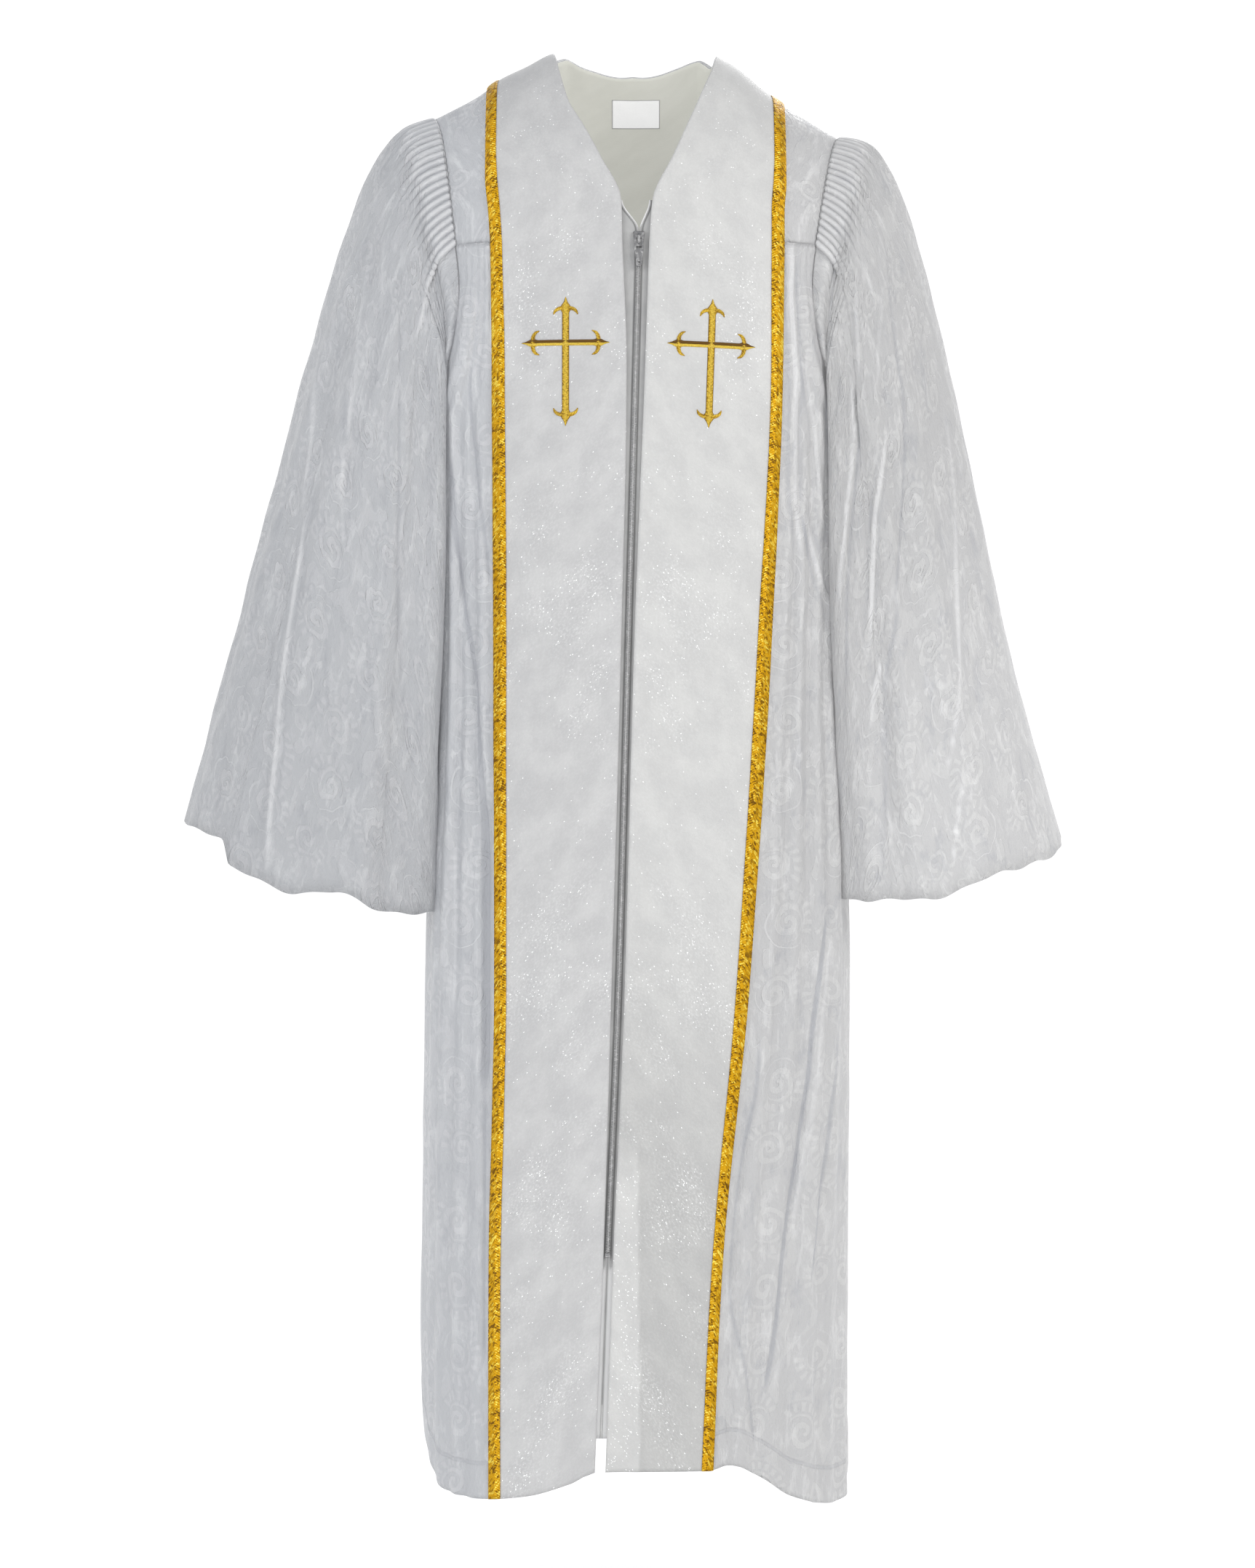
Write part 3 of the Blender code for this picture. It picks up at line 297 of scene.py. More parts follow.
SLEEVE_CREASES = {
    Side.LEFT: (
        Crease(-2.2, 3, 5, (
            (-676, -205), (-641, -211), (-600, -216), (-559, -220), (-511, -222), (-463, -222),
            (-381, -221), (-298, -220), (-216, -221), (-178, -222),
        )),
        Crease(-2.5, 5, 4, ((-463, -192), (-381, -191), (-326, -189), (-298, -190), (-243, -193))),
        Crease(2.0, 2.5, 4, ((-260, -204), (-236, -198), (-209, -194), (-191, -185), (-183, -173))),
        Crease(1.4, 3, 3, (
            (-463, -270), (-422, -273), (-387, -272), (-353, -268), (-326, -264), (-298, -259),
            (-250, -256), (-216, -253), (-178, -250),
        )),
        Crease(2.4, 4, 3, (
            (-768, -339), (-730, -338), (-689, -335), (-655, -332), (-607, -329), (-566, -325),
            (-525, -320), (-483, -314), (-449, -310), (-408, -308), (-353, -303), (-305, -298),
            (-254, -293),
        )),
        Crease(-1.3, 2.5, 4, (
            (-765, -258), (-737, -262), (-703, -270), (-669, -277), (-634, -281), (-600, -286),
            (-559, -288), (-490, -289), (-422, -288),
        )),
        Crease(-1.4, 4, 2.5, (
            (-785, -206), (-758, -211), (-717, -223), (-682, -233), (-641, -241), (-600, -245),
            (-559, -248),
        )),
        Crease(1.6, 8, 8, ((-676, -230), (-627, -235), (-579, -240))),
        Crease(1.2, 2.5, 2.5, ((-257, -234), (-230, -237), (-202, -236), (-161, -233))),
        Crease(-1.0, 2, 2, ((-422, -273), (-387, -268), (-353, -269), (-315, -269))),
        Crease(-1.0, 2, 2, ((-765, -301), (-748, -310), (-732, -319))),
        Crease(-1.0, 2, 2, ((-766, -287), (-751, -292), (-735, -301))),
        Crease(1.2, 3, 3, ((-209, -280), (-183, -270), (-168, -261))),
    ),
    Side.RIGHT: (
        Crease(-2.2, 3, 4, (
            (-525, 243), (-490, 246), (-449, 250), (-408, 253), (-353, 254), (-312, 252),
            (-284, 248), (-250, 244), (-216, 241), (-171, 239),
        )),
        Crease(-3.0, 9, 9, ((-782, 232), (-730, 233), (-662, 236), (-593, 239), (-511, 244))),
        Crease(1.5, 2.5, 2.5, ((-298, 213), (-257, 211), (-230, 210), (-188, 211))),
        Crease(1.3, 2.5, 2.5, ((-312, 229), (-284, 230), (-257, 231), (-216, 234))),
        Crease(2.5, 2.5, 2, (
            (-525, 192), (-490, 194), (-449, 198), (-408, 202), (-374, 206), (-339, 207), (-298, 207),
        )),
        Crease(-3.5, 3, 5, (
            (-600, 197), (-573, 200), (-531, 200), (-490, 201), (-449, 204), (-408, 208), (-353, 213),
        )),
        Crease(2.2, 2, 2, (
            (-559, 221), (-518, 223), (-477, 225), (-435, 227), (-394, 232), (-353, 237),
        )),
        Crease(2.2, 2, 3, (
            (-627, 221), (-603, 225), (-579, 230), (-559, 235), (-531, 241), (-504, 245),
        )),
        Crease(2.0, 3, 4, (
            (-669, 291), (-648, 296), (-607, 301), (-566, 304), (-525, 304), (-477, 302),
            (-422, 302), (-367, 299), (-326, 294),
        )),
        Crease(1.8, 3, 3, ((-761, 295), (-737, 300), (-710, 303), (-676, 307))),
    ),
}

SLEEVE_LINES = Table("place left_out right_out apart ahead left_down right_down turn", (
    (0.00, 67, 60, 0, 0, 17, 5, 0.00),
    (0.25, 58, 53, 5, 2, 22, 20, 0.36),
    (0.50, 41, 38, 8, 5, 37, 37, 0.72),
    (0.75, 15, 15, 5, 18, 36, 36, 0.88),
    (1.00, 2, 2, 0, 30, 30, 30, 1.00),
))
CUFF = Table("turn left_front left_back right_front right_back", (
    (0.00, -716, -716, -731, -731),
    (0.15, -722, -722, -748, -737),
    (0.285, -734, -731, -757, -744),
    (0.307, -757, -733, -760, -745),
    (0.33, -761, -734, -762, -746),
    (0.40, -771, -738, -765, -750),
    (0.50, -783, -744, -778, -756),
    (0.60, -782, -752, -790, -762),
    (0.70, -797, -764, -788, -768),
    (0.85, -803, -785, -791, -776),
    (1.00, -800, -800, -783, -783),
))
SLEEVE_FOLDS = (
    (0.07, 3.0, 3.0, 0.05), (0.17, 7.0, 6.0, 0.06), (0.29, 5.0, 7.0, 0.06), (0.41, 8.0, 5.0, 0.07),
    (0.53, 6.0, 8.0, 0.06), (0.65, 8.0, 6.0, 0.07), (0.79, 5.0, 5.0, 0.07), (0.91, 8.0, 0.0, 0.09),
)


@dataclass(frozen=True)
class RobeForm:
    """The smooth form of the worn robe that every layer of cloth is laid on."""

    ring_power: float = 2.5
    corner_turn: float = 56.6
    armhole_curve: float = 2.2
    neck_left: float = -77 * MM
    neck_right: float = 80 * MM
    neck_dip: float = 0.44

    def half_width(self, x: Array, z: Array) -> Array:
        """Half width of the body on the side of each x, at each level."""
        level = np.asarray(z) / MM
        return np.where(x >= 0, TORSO.read("right", level), TORSO.read("left", level)) * MM

    def depth(self, x: Array, z: Array, face: Face) -> Array:
        """Depth of the body's ring at each place across it."""
        reach = TORSO.read(face.name.lower(), np.asarray(z) / MM) * MM
        share = np.minimum(np.abs(x) / self.half_width(x, z), 1.0)
        return face.value * reach * (1 - share ** self.ring_power) ** (1 / self.ring_power)

    def ring_turn(self, x: Array, z: Array) -> Array:
        """Turn in degrees from the middle of the ring's front or back to x."""
        return np.degrees(np.arcsin(np.clip(x / self.half_width(x, z), -1.0, 1.0)))

    def width_at(self, y: Array, z: Array, side: Side) -> Array:
        """Half width of the body's ring at each place in its depth."""
        level = z / MM
        reach = np.where(y < 0, TORSO.read("front", level), TORSO.read("back", level)) * MM
        share = np.minimum(np.abs(y) / reach, 1.0)
        return TORSO.read(side.word, level) * MM * (1 - share ** self.ring_power) ** (1 / self.ring_power)

    def body(self, x: Array, z: Array, face: Face) -> Array:
        """Points of the body, their levels swept towards the uneven hem.

        Args:
            x: Places across the robe.
            z: Levels before the sweep.
            face: Front or back of the robe.

        Returns:
            The points, with the three coordinates last.
        """
        x, z = np.broadcast_arrays(np.asarray(x, dtype=float), np.asarray(z, dtype=float))
        turn = self.ring_turn(x, z)
        if face is Face.BACK:
            turn = np.copysign(180 - np.abs(turn), x)
        sweep = ease(z, SWEEP_LEVEL, HEM_LEVEL)
        drop = HEM.read("height", turn) * MM - HEM_LEVEL
        return np.stack((x, self.depth(x, z, face), z + sweep * drop), axis=-1)

    def yoke(self, x: Array, turn: Array, face: Face) -> Array:
        """Points of the arch from the yoke seam (turn 0) to the shoulder ridge (turn 1).

        Args:
            x: Places across the robe.
            turn: Shares of the way up the arch.
            face: Front or back of the robe.

        Returns:
            The points, with the three coordinates last.
        """
        x, turn = np.broadcast_arrays(np.asarray(x, dtype=float), np.asarray(turn, dtype=float))
        out = np.abs(x) / MM
        top = np.where(x >= 0, RIDGE.read("right", out), RIDGE.read("left", out))
        if face is Face.BACK:
            top = top + RIDGE.read("back_rise", out)
        angle = turn * math.pi / 2
        y = self.depth(x, YOKE_LEVEL, face) * np.cos(angle)
        z = YOKE_LEVEL + (top * MM - YOKE_LEVEL) * np.sin(angle)
        return np.stack((x, y, z), axis=-1)

    def side_turn(self, z: Array) -> Array:
        """Turn of the armhole seam, and of the side seam below it, at each level."""
        way = np.minimum(1.0, (YOKE_LEVEL - z) / (YOKE_LEVEL - UNDERARM_LEVEL))
        return self.corner_turn + (90 - self.corner_turn) * way ** self.armhole_curve

    def edges(self, side: Side, table: Table, key: Array, shares: Array) -> Array:
        """Places across a panel: 0 at its front edge, 1 at its braid, 2 past the braid."""
        key = np.asarray(key)[..., None]
        edge, braid, outer = (
            table.read(side.word + column, key) * MM for column in ("_edge", "_braid", "_side")
        )
        over = np.clip(shares - 1, 0, 1)
        return edge + (braid - edge) * np.clip(shares, 0, 1) + (outer - braid) * over

    def fold_rise(self, folds: Rows, place: Array, z: Array) -> Array:
        """How far folded cloth stands out of the plain ring.

        Args:
            folds: Rows of dip, crest, and rise at the yoke, waist and hem.
            place: Shares of the way round, 1 at the side seam.
            z: Levels.

        Returns:
            The rise at each place, in metres.
        """
        place, z = np.broadcast_arrays(place, z)
        rise = np.zeros(place.shape)
        upper = ease(z, YOKE_LEVEL, WAIST_LEVEL)
        lower = ease(z, WAIST_LEVEL, HEM_LEVEL)
        for index, (dip, crest, top, waist, hem) in enumerate(folds):
            end = folds[index + 1][0] if index + 1 < len(folds) else 1.0
            way = np.where(place <= crest, (place - dip) / (crest - dip), (end - place) / (end - crest))
            height = np.where(z > WAIST_LEVEL, top + (waist - top) * upper, waist + (hem - waist) * lower)
            rise += np.where((place >= dip) & (place <= end), height * MM * smooth(way), 0.0)
        return rise


FORM = RobeForm()
TORSO_INSIDE = np.array((0.0, 0.0, -0.5))


def grid_normals(points: Array, inside: Array = TORSO_INSIDE, wrap: bool = False) -> Array:
    """Unit normals of a grid of points.

    Args:
        points: Rows and columns of points.
        inside: A point, or one for each row, that the normals face away from.
        wrap: Whether the last column meets the first one.

    Returns:
        One normal for each point.
    """
    down = np.gradient(points, axis=0)
    if wrap:
        ring = points[:, :-1]
        across = np.roll(ring, -1, axis=1) - np.roll(ring, 1, axis=1)
        across = np.concatenate((across, across[:, :1]), axis=1)
    else:
        across = np.gradient(points, axis=1)
    normals = np.cross(down, across)
    normals /= np.maximum(np.linalg.norm(normals, axis=2, keepdims=True), 1e-12)
    if np.sum(normals * (points - inside)) < 0:
        normals = -normals
    return normals


def ripple(points: Array, wave: float, seed: float) -> Array:
    """A soft uneven swell over a surface, between -1 and 1.

    Args:
        points: Where to read it.
        wave: Length of its larger waves, in metres.
        seed: Shifts it, so that no two pieces swell alike.

    Returns:
        The swell at each point.
    """
    x, y, z = (points[..., axis] * 2 * math.pi / wave for axis in range(3))
    # Three waves whose lengths and turns have no common factor, so they never fall in step
    swell = np.sin(x + 0.31 * z + seed) * np.cos(0.47 * z - 0.6 * y + 1.7 * seed)
    swell += 0.6 * np.sin(1.9 * x - 0.83 * z + 2.3 * seed) * np.sin(1.1 * z + 1.3 * y + seed)
    swell += 0.4 * np.sin(3.1 * x + 1.37 * z + 0.7 * seed)
    return swell / 2


# Nodes and finishes


class Desk:
    """Lays out and joins the shader nodes of one finish."""

    def __init__(self, name: str, constants: dict[str, Any]) -> None:
        """Starts a material with its even values.

        Args:
            name: Name of the material.
            constants: Values of the shader's own sockets.
        """
        self.material = bpy.data.materials.new(name)
        self.material.use_nodes = True
        self.tree = self.material.node_tree
        self.shader = self.tree.nodes["Principled BSDF"]
        for key, value in constants.items():
            self.shader.inputs[key].default_value = value

    def feed(self, socket: Socket, value: Any) -> None:
        """Joins a socket to another one, or sets its value."""
        if isinstance(value, bpy.types.NodeSocket):
            self.tree.links.new(value, socket)
        else:
            socket.default_value = value

    def add(self, kind: str, inputs: dict[Any, Any] | None = None, **settings: Any) -> bpy.types.Node:
        """Adds a node.

        Args:
            kind: Its type, without the ShaderNode prefix.
            inputs: Values or sockets by input.
            **settings: The node's own options.

        Returns:
            The new node.
        """
        node = self.tree.nodes.new("ShaderNode" + kind)
        for key, value in settings.items():
            setattr(node, key, value)
        for key, value in (inputs or {}).items():
            self.feed(node.inputs[key], value)
        return node

    def math(self, operation: str, *values: Any) -> Socket:
        """A number worked out from others."""
        return self.add("Math", dict(enumerate(values)), operation=operation).outputs[0]

    def vector(self, operation: str, *values: Any) -> Socket:
        """A vector worked out from others."""
        return self.add("VectorMath", dict(enumerate(values)), operation=operation).outputs[0]

    def step(self, value: Socket, low: float, high: float) -> Socket:
        """A soft step from 0 at low to 1 at high."""
        inputs = {0: value, 1: low, 2: high}
        return self.add("MapRange", inputs, interpolation_type="SMOOTHSTEP").outputs[0]

    def blend(self, share: Any, one: Any, other: Any, mode: str = "MIX") -> Socket:
        """A colour between two others.

        Args:
            share: How much of the other colour is in it.
            one: The first colour.
            other: The other colour.
            mode: How the two are mixed.

        Returns:
            The mixed colour.
        """
        one, other = ((*c, 1.0) if isinstance(c, tuple) else c for c in (one, other))
        inputs = {0: share, 6: one, 7: other}
        return self.add("Mix", inputs, data_type="RGBA", blend_type=mode).outputs[2]

    def cloth(self) -> Socket:
        """The place on the cloth, in metres across and down it."""
        return self.add("UVMap", uv_map="cloth").outputs[0]

    def split(self, place: Socket) -> Sequence[Socket]:
        """The three parts of a place."""
        return self.add("SeparateXYZ", {0: place}).outputs

    def mark(self, name: str) -> Socket:
        """A mask that the mesh itself carries, such as its creases, which finishes turn into painted light
        and shade.
        """
        return self.add("Attribute", attribute_name=name).outputs["Fac"]

    def noise(
        self, place: Socket, scale: float, detail: float = 2.0, tilt: float = 0.5, solid: bool = False
    ) -> Socket:
        """Even noise.

        Args:
            place: Where it is read.
            scale: How many waves it has to a metre.
            detail: How many finer layers it has.
            tilt: How strong the finer layers are.
            solid: Whether it changes through the piece and not only along its surface.

        Returns:
            The noise, about 0.5 on average.
        """
        inputs = {"Vector": place, "Scale": scale, "Detail": detail, "Roughness": tilt}
        return self.add("TexNoise", inputs, noise_dimensions="3D" if solid else "2D").outputs[0]

    def flecks(self, place: Socket, scale: float) -> Sequence[Socket]:
        """Three chance values that are even all over each small cell, that many cells to a metre."""
        cells = self.add("TexVoronoi", {"Vector": place, "Scale": scale}, voronoi_dimensions="2D")
        return self.add("SeparateColor", {0: cells.outputs["Color"]}).outputs

    def stretch(self, place: Socket, across: float, down: float) -> Socket:
        """The place with each direction scaled."""
        return self.vector("MULTIPLY", place, (across, down, 1.0))

    def times(self, one: Any, other: Any) -> Socket:
        """One mask or number times another."""
        return self.math("MULTIPLY", one, other)

    def ramp(self, value: Socket, share: float, base: Any) -> Socket:
        """A value scaled and added to a base."""
        return self.math("MULTIPLY_ADD", value, share, base)

    def off(self, value: Socket, place: float) -> Socket:
        """How far a value is from a place, on either side."""
        return self.math("ABSOLUTE", self.math("SUBTRACT", value, place))

    def layers(self, colour: Any, *rows: tuple[Any, float, Any]) -> Socket:
        """Lays colours over a first one.

        Args:
            colour: The first colour.
            *rows: Mask, strength and colour of each layer, the lowest one first.

        Returns:
            The colour that shows.
        """
        for mask, strength, over in rows:
            colour = self.blend(self.times(mask, strength), colour, over)
        return colour

    def relief(self, *rows: tuple[Socket, float]) -> Socket:
        """A normal from heights between 0 and 1, each laid on the one before.

        Args:
            *rows: Each height and how deep it is, in metres.

        Returns:
            The normal.
        """
        normal = None
        for height, depth in rows:
            inputs = {"Height": height, "Distance": depth, "Strength": 1.0}
            if normal is not None:
                inputs["Normal"] = normal
            normal = self.add("Bump", inputs).outputs[0]
        return normal

    def dress(self, colour: Any, roughness: Any, normal: Socket) -> Finish:
        """Joins colour, roughness and normal to the shader and gives back the material."""
        self.feed(self.shader.inputs["Base Color"], colour)
        self.feed(self.shader.inputs["Roughness"], roughness)
        self.feed(self.shader.inputs["Normal"], normal)
        return self.material

    def weave(self, place: Socket, pitch: float) -> Socket:
        """Threads over and under each other, that far apart."""
        turn = 2 * math.pi / pitch
        warp, weft = (self.math("SINE", self.times(way, turn)) for way in self.split(place)[:2])
        return self.ramp(self.times(warp, weft), 0.5, 0.5)


@dataclass(frozen=True)
class Brocade:
    """Silky brocade with scrolls, shells and leaves in its own colour, a little crushed.

    Spans named for levels are metres down the cloth, and its edges run from none to full.
    """

    name: str
    ground: Colour = (0.45, 0.46, 0.48)
    figure: Colour = (0.50, 0.505, 0.525)
    line: Colour = (0.72, 0.73, 0.74)
    # shade is the painted shade in grooves and the painted shadow on the hem line, and also the dark
    # mottling; ridge is the painted highlight on ridges
    shade: Colour = (0.33, 0.34, 0.37)
    ridge: Colour = (0.86, 0.86, 0.87)
    # Painted light: the cloth gives off light of its own at this strength
    painted_glow: float = 0.12
    # tone, low and low_levels are painted light and shade: each copy of the cloth is made brighter or darker,
    # and lower down, as the light falls on its part
    tone: float = 1.0
    low: float = 1.0
    low_levels: Span = (-0.25, -0.60)
    faint_levels: Span = (-0.66, -0.90)
    repeat: float = 66 * MM
    scatter: float = 0.35
    wander: float = 20 * MM
    coil_step: float = 10.5 * MM
    heart_edge: Span = (17.5 * MM, 15.5 * MM)
    shell_inside: Span = (18.5 * MM, 19.5 * MM)
    shell_outside: Span = (28.5 * MM, 27.0 * MM)
    shell_ribs: float = 17.0
    arc: float = 22.5 * MM
    arc_edge: Span = (1.1 * MM, 0.4 * MM)
    leaves_start: Span = (28.5 * MM, 30.0 * MM)
    leaf_waves: float = 62.0
    leaf_edge: Span = (0.53, 0.56)
    vein: float = 0.545
    vein_edge: Span = (0.026, 0.010)
    stitch_edge: Span = (2.6 * MM, 0.6 * MM)
    thread: float = 0.8 * MM

    def scrolls(self, desk: Desk, place: Socket) -> tuple[Socket, Socket]:
        """The woven figure: a coiled scroll half ringed by a shell in each cell, and leaves between.

        Args:
            desk: The material's nodes.
            place: Where on the cloth.

        Returns:
            How much figure and how much outline there is, each between 0 and 1.
        """
        wander = desk.add("TexNoise", {"Vector": place, "Scale": 15.0, "Detail": 1.0}, noise_dimensions="2D")
        shift = desk.vector("SCALE", desk.vector("SUBTRACT", wander.outputs[1], grey(0.5)))
        shift.node.inputs["Scale"].default_value = self.wander
        bent = desk.vector("ADD", place, shift)
        inputs = {"Vector": bent, "Scale": 1 / self.repeat, "Randomness": self.scatter}
        cell = desk.add("TexVoronoi", inputs, voronoi_dimensions="2D")
        x, y, _ = desk.split(desk.vector("SUBTRACT", bent, cell.outputs["Position"]))
        out = desk.math("SQRT", desk.math("ADD", desk.math("POWER", x, 2.0), desk.math("POWER", y, 2.0)))
        chance = desk.add("SeparateColor", {0: cell.outputs["Color"]}).outputs
        hand = desk.ramp(desk.math("GREATER_THAN", chance[0], 0.5), 2.0, -1.0)
        turn = desk.math("DIVIDE", desk.math("ARCTAN2", y, x), 2 * math.pi)
        angle = desk.math("ADD", desk.times(turn, hand), chance[1])

        coil = desk.math("ADD", angle, desk.math("DIVIDE", out, self.coil_step))
        coil = desk.math("PINGPONG", coil, 0.5)
        heart = desk.step(out, *self.heart_edge)
        band = desk.times(desk.step(coil, 0.22, 0.28), heart)
        rim = desk.times(desk.math("SUBTRACT", 1.0, desk.step(desk.off(coil, 0.25), 0.02, 0.08)), heart)

        sector = desk.math("PINGPONG", angle, 0.5)
        ribs = desk.math("PINGPONG", desk.times(angle, self.shell_ribs), 0.5)
        fan = desk.times(desk.step(out, *self.shell_inside), desk.step(out, *self.shell_outside))
        shell = desk.times(desk.times(fan, desk.step(ribs, 0.15, 0.35)), desk.step(sector, 0.26, 0.24))
        arc = desk.times(desk.step(desk.off(out, self.arc), *self.arc_edge), desk.step(sector, 0.24, 0.27))

        leaf = desk.noise(desk.stretch(bent, 1.0, 0.6), self.leaf_waves, 1.0, 0.35)
        between = desk.step(out, *self.leaves_start)
        leaves = desk.times(desk.step(leaf, *self.leaf_edge), desk.times(between, 0.6))
        veins = desk.times(desk.step(desk.off(leaf, self.vein), *self.vein_edge), desk.times(between, 0.8))
        figure = desk.math("MAXIMUM", desk.math("MAXIMUM", band, shell), leaves)
        outline = desk.math("MAXIMUM", desk.math("MAXIMUM", rim, arc), veins)
        return figure, outline

    def make(self) -> Finish:
        """Builds the material; it gives off a little light in its own colour, painted light that stands in
        for light coming through the cloth.
        """
        desk = Desk(self.name, {
            "Sheen Weight": 0.25, "Sheen Roughness": 0.35, "Specular IOR Level": 0.6,
            "Emission Strength": self.painted_glow,
        })
        place = desk.cloth()
        figure, outline = self.scrolls(desk, place)
        level = desk.split(place)[1]
        worn = desk.step(desk.noise(place, 13.0, 2.0, 0.6), 0.30, 0.60)
        worn = desk.times(worn, desk.ramp(desk.step(level, *self.faint_levels), -0.7, 1.0))
        outline = desk.times(outline, worn)
        # Crush lines along the cloth: pressed in as relief, and laid on the colour as painted sheen
        crush_and_sheen = desk.noise(desk.stretch(place, 1.0, 0.16), 120.0, 4.0, 0.65)
        mottle = desk.noise(desk.stretch(place, 1.0, 0.45), 44.0, 5.0, 0.72)
        # Painted highlight on the crest mask's ridges and painted shade in its grooves
        crest = desk.mark("crest")
        # Along the turned-up hem's edge: a groove in the relief, and painted shadow in the colour
        stitch = desk.step(desk.off(desk.mark("hem"), HEM_DEPTH), *self.stitch_edge)
        colour = desk.layers(
            self.ground,
            (figure, 0.8, self.figure),
            (desk.step(mottle, 0.54, 0.70), 0.26, self.line),
            (desk.step(mottle, 0.45, 0.30), 0.34, self.shade),
            (desk.step(crush_and_sheen, 0.58, 0.68), 0.20, self.line),
            (outline, 0.30, self.line),
            (desk.step(crest, 0.05, 0.9), 0.45, self.ridge),
            (desk.step(crest, -0.05, -0.9), 0.60, self.shade),
            (stitch, 0.26, self.shade),
        )
        # Painted light and shade: the copy's own brightness, changing towards the lower levels
        tone = desk.blend(desk.step(level, *self.low_levels), grey(self.tone), grey(self.tone * self.low))
        colour = desk.blend(1.0, colour, tone, "MULTIPLY")
        # Painted light: the cloth gives off light in its own colour
        desk.feed(desk.shader.inputs["Emission Color"], colour)
        normal = desk.relief(
            (desk.weave(place, self.thread), 0.04 * MM),
            (crush_and_sheen, 1.2 * MM),
            (mottle, 2.2 * MM),
            (figure, 0.22 * MM),
            (outline, 0.30 * MM),
            (stitch, -0.6 * MM),
        )
        return desk.dress(colour, desk.ramp(figure, -0.14, 0.50), normal)


@dataclass(frozen=True)
class GlitterCloth:
    """Plain white cloth with fine glitter worked into it."""

    name: str
    ground: Colour
    mottled: Colour
    # low and low_levels: painted shade, the panel darker lower down, except on the lit strip
    low: float = 1.0
    low_levels: Span = (-0.80, -1.15)
    flakes: float = 1150.0
    # frost and spark: flakes and grain painted near-white and white, partly the glitter's own colour and
    # partly painted glints
    frost: Colour = grey(0.86)
    spark: Colour = grey(1.0)
    limit: float = 0.9988
    patch_more: float = 0.022
    lit_strip_more: float = 0.016

    def make(self) -> Finish:
        """Builds the material; a flake is painted white, partly its own colour and partly a painted glint,
        where its chance is over the limit.
        """
        desk = Desk(self.name, {"Sheen Weight": 0.15, "Specular IOR Level": 0.5})
        place = desk.cloth()
        chance = desk.flecks(place, self.flakes)
        patch = desk.step(desk.noise(place, 9.0, 3.0, 0.7), 0.45, 0.75)
        # Painted light on the strip beside the zip: more painted glints, and none of the lower shade
        strip = desk.mark("crest")
        limit = desk.ramp(strip, -self.lit_strip_more, desk.ramp(patch, -self.patch_more, self.limit))
        spark = desk.math("GREATER_THAN", chance[0], limit)
        grain = desk.noise(place, 420.0, 2.0, 0.7)
        cloud = desk.noise(place, 30.0, 4.0, 0.65)
        colour = desk.blend(desk.step(cloud, 0.30, 0.74), self.ground, self.mottled)
        # Painted shade: darker lower down, but not on the lit strip
        down = desk.step(desk.split(place)[1], *self.low_levels)
        down = desk.times(down, desk.math("SUBTRACT", 1.0, strip))
        colour = desk.blend(down, colour, desk.blend(1.0, colour, grey(self.low), "MULTIPLY"))
        # Painted glints on the real glitter: frosted grain and white flakes
        frosted = desk.times(desk.step(grain, 0.42, 0.72), desk.ramp(patch, 0.22, 0.08))
        colour = desk.blend(spark, desk.blend(frosted, colour, self.frost), self.spark)
        normal = desk.relief((grain, 0.12 * MM), (chance[1], 0.07 * MM), (cloud, 0.12 * MM))
        return desk.dress(colour, desk.ramp(spark, -0.36, 0.52), normal)


@dataclass(frozen=True)
class GoldBraid:
    """Narrow braid of metallic gold thread and foil."""

    name: str
    dark: Colour = (0.17, 0.075, 0.002)
    gold: Colour = (0.67, 0.355, 0.004)
    bright: Colour = (0.98, 0.78, 0.12)
    middle: float = 5.5 * MM
    plait: float = 2.4 * MM
    foil: float = 500.0

    def make(self) -> Finish:
        """Builds the material."""
        desk = Desk(self.name, {"Metallic": 0.45, "Specular IOR Level": 0.2})
        place = desk.cloth()
        x, y, _ = desk.split(place)
        slant = desk.math("ADD", y, desk.off(x, self.middle))
        plait = desk.math("SINE", desk.times(slant, 2 * math.pi / self.plait))
        chance = desk.flecks(place, self.foil)
        run = desk.noise(desk.stretch(place, 0.3, 1.0), 30.0, 2.0)
        fleck = desk.ramp(chance[0], 0.75, desk.times(plait, 0.12))
        fleck = desk.math("ADD", fleck, desk.ramp(run, 0.5, -0.21))
        colour = desk.blend(desk.step(fleck, 0.03, 0.36), self.dark, self.gold)
        # Bright flecks: partly the foil's own colour, partly painted glints
        colour = desk.blend(desk.step(fleck, 0.62, 0.86), colour, self.bright)
        normal = desk.relief((plait, 0.16 * MM), (chance[2], 0.35 * MM))
        return desk.dress(colour, desk.ramp(chance[1], 0.30, 0.22), normal)


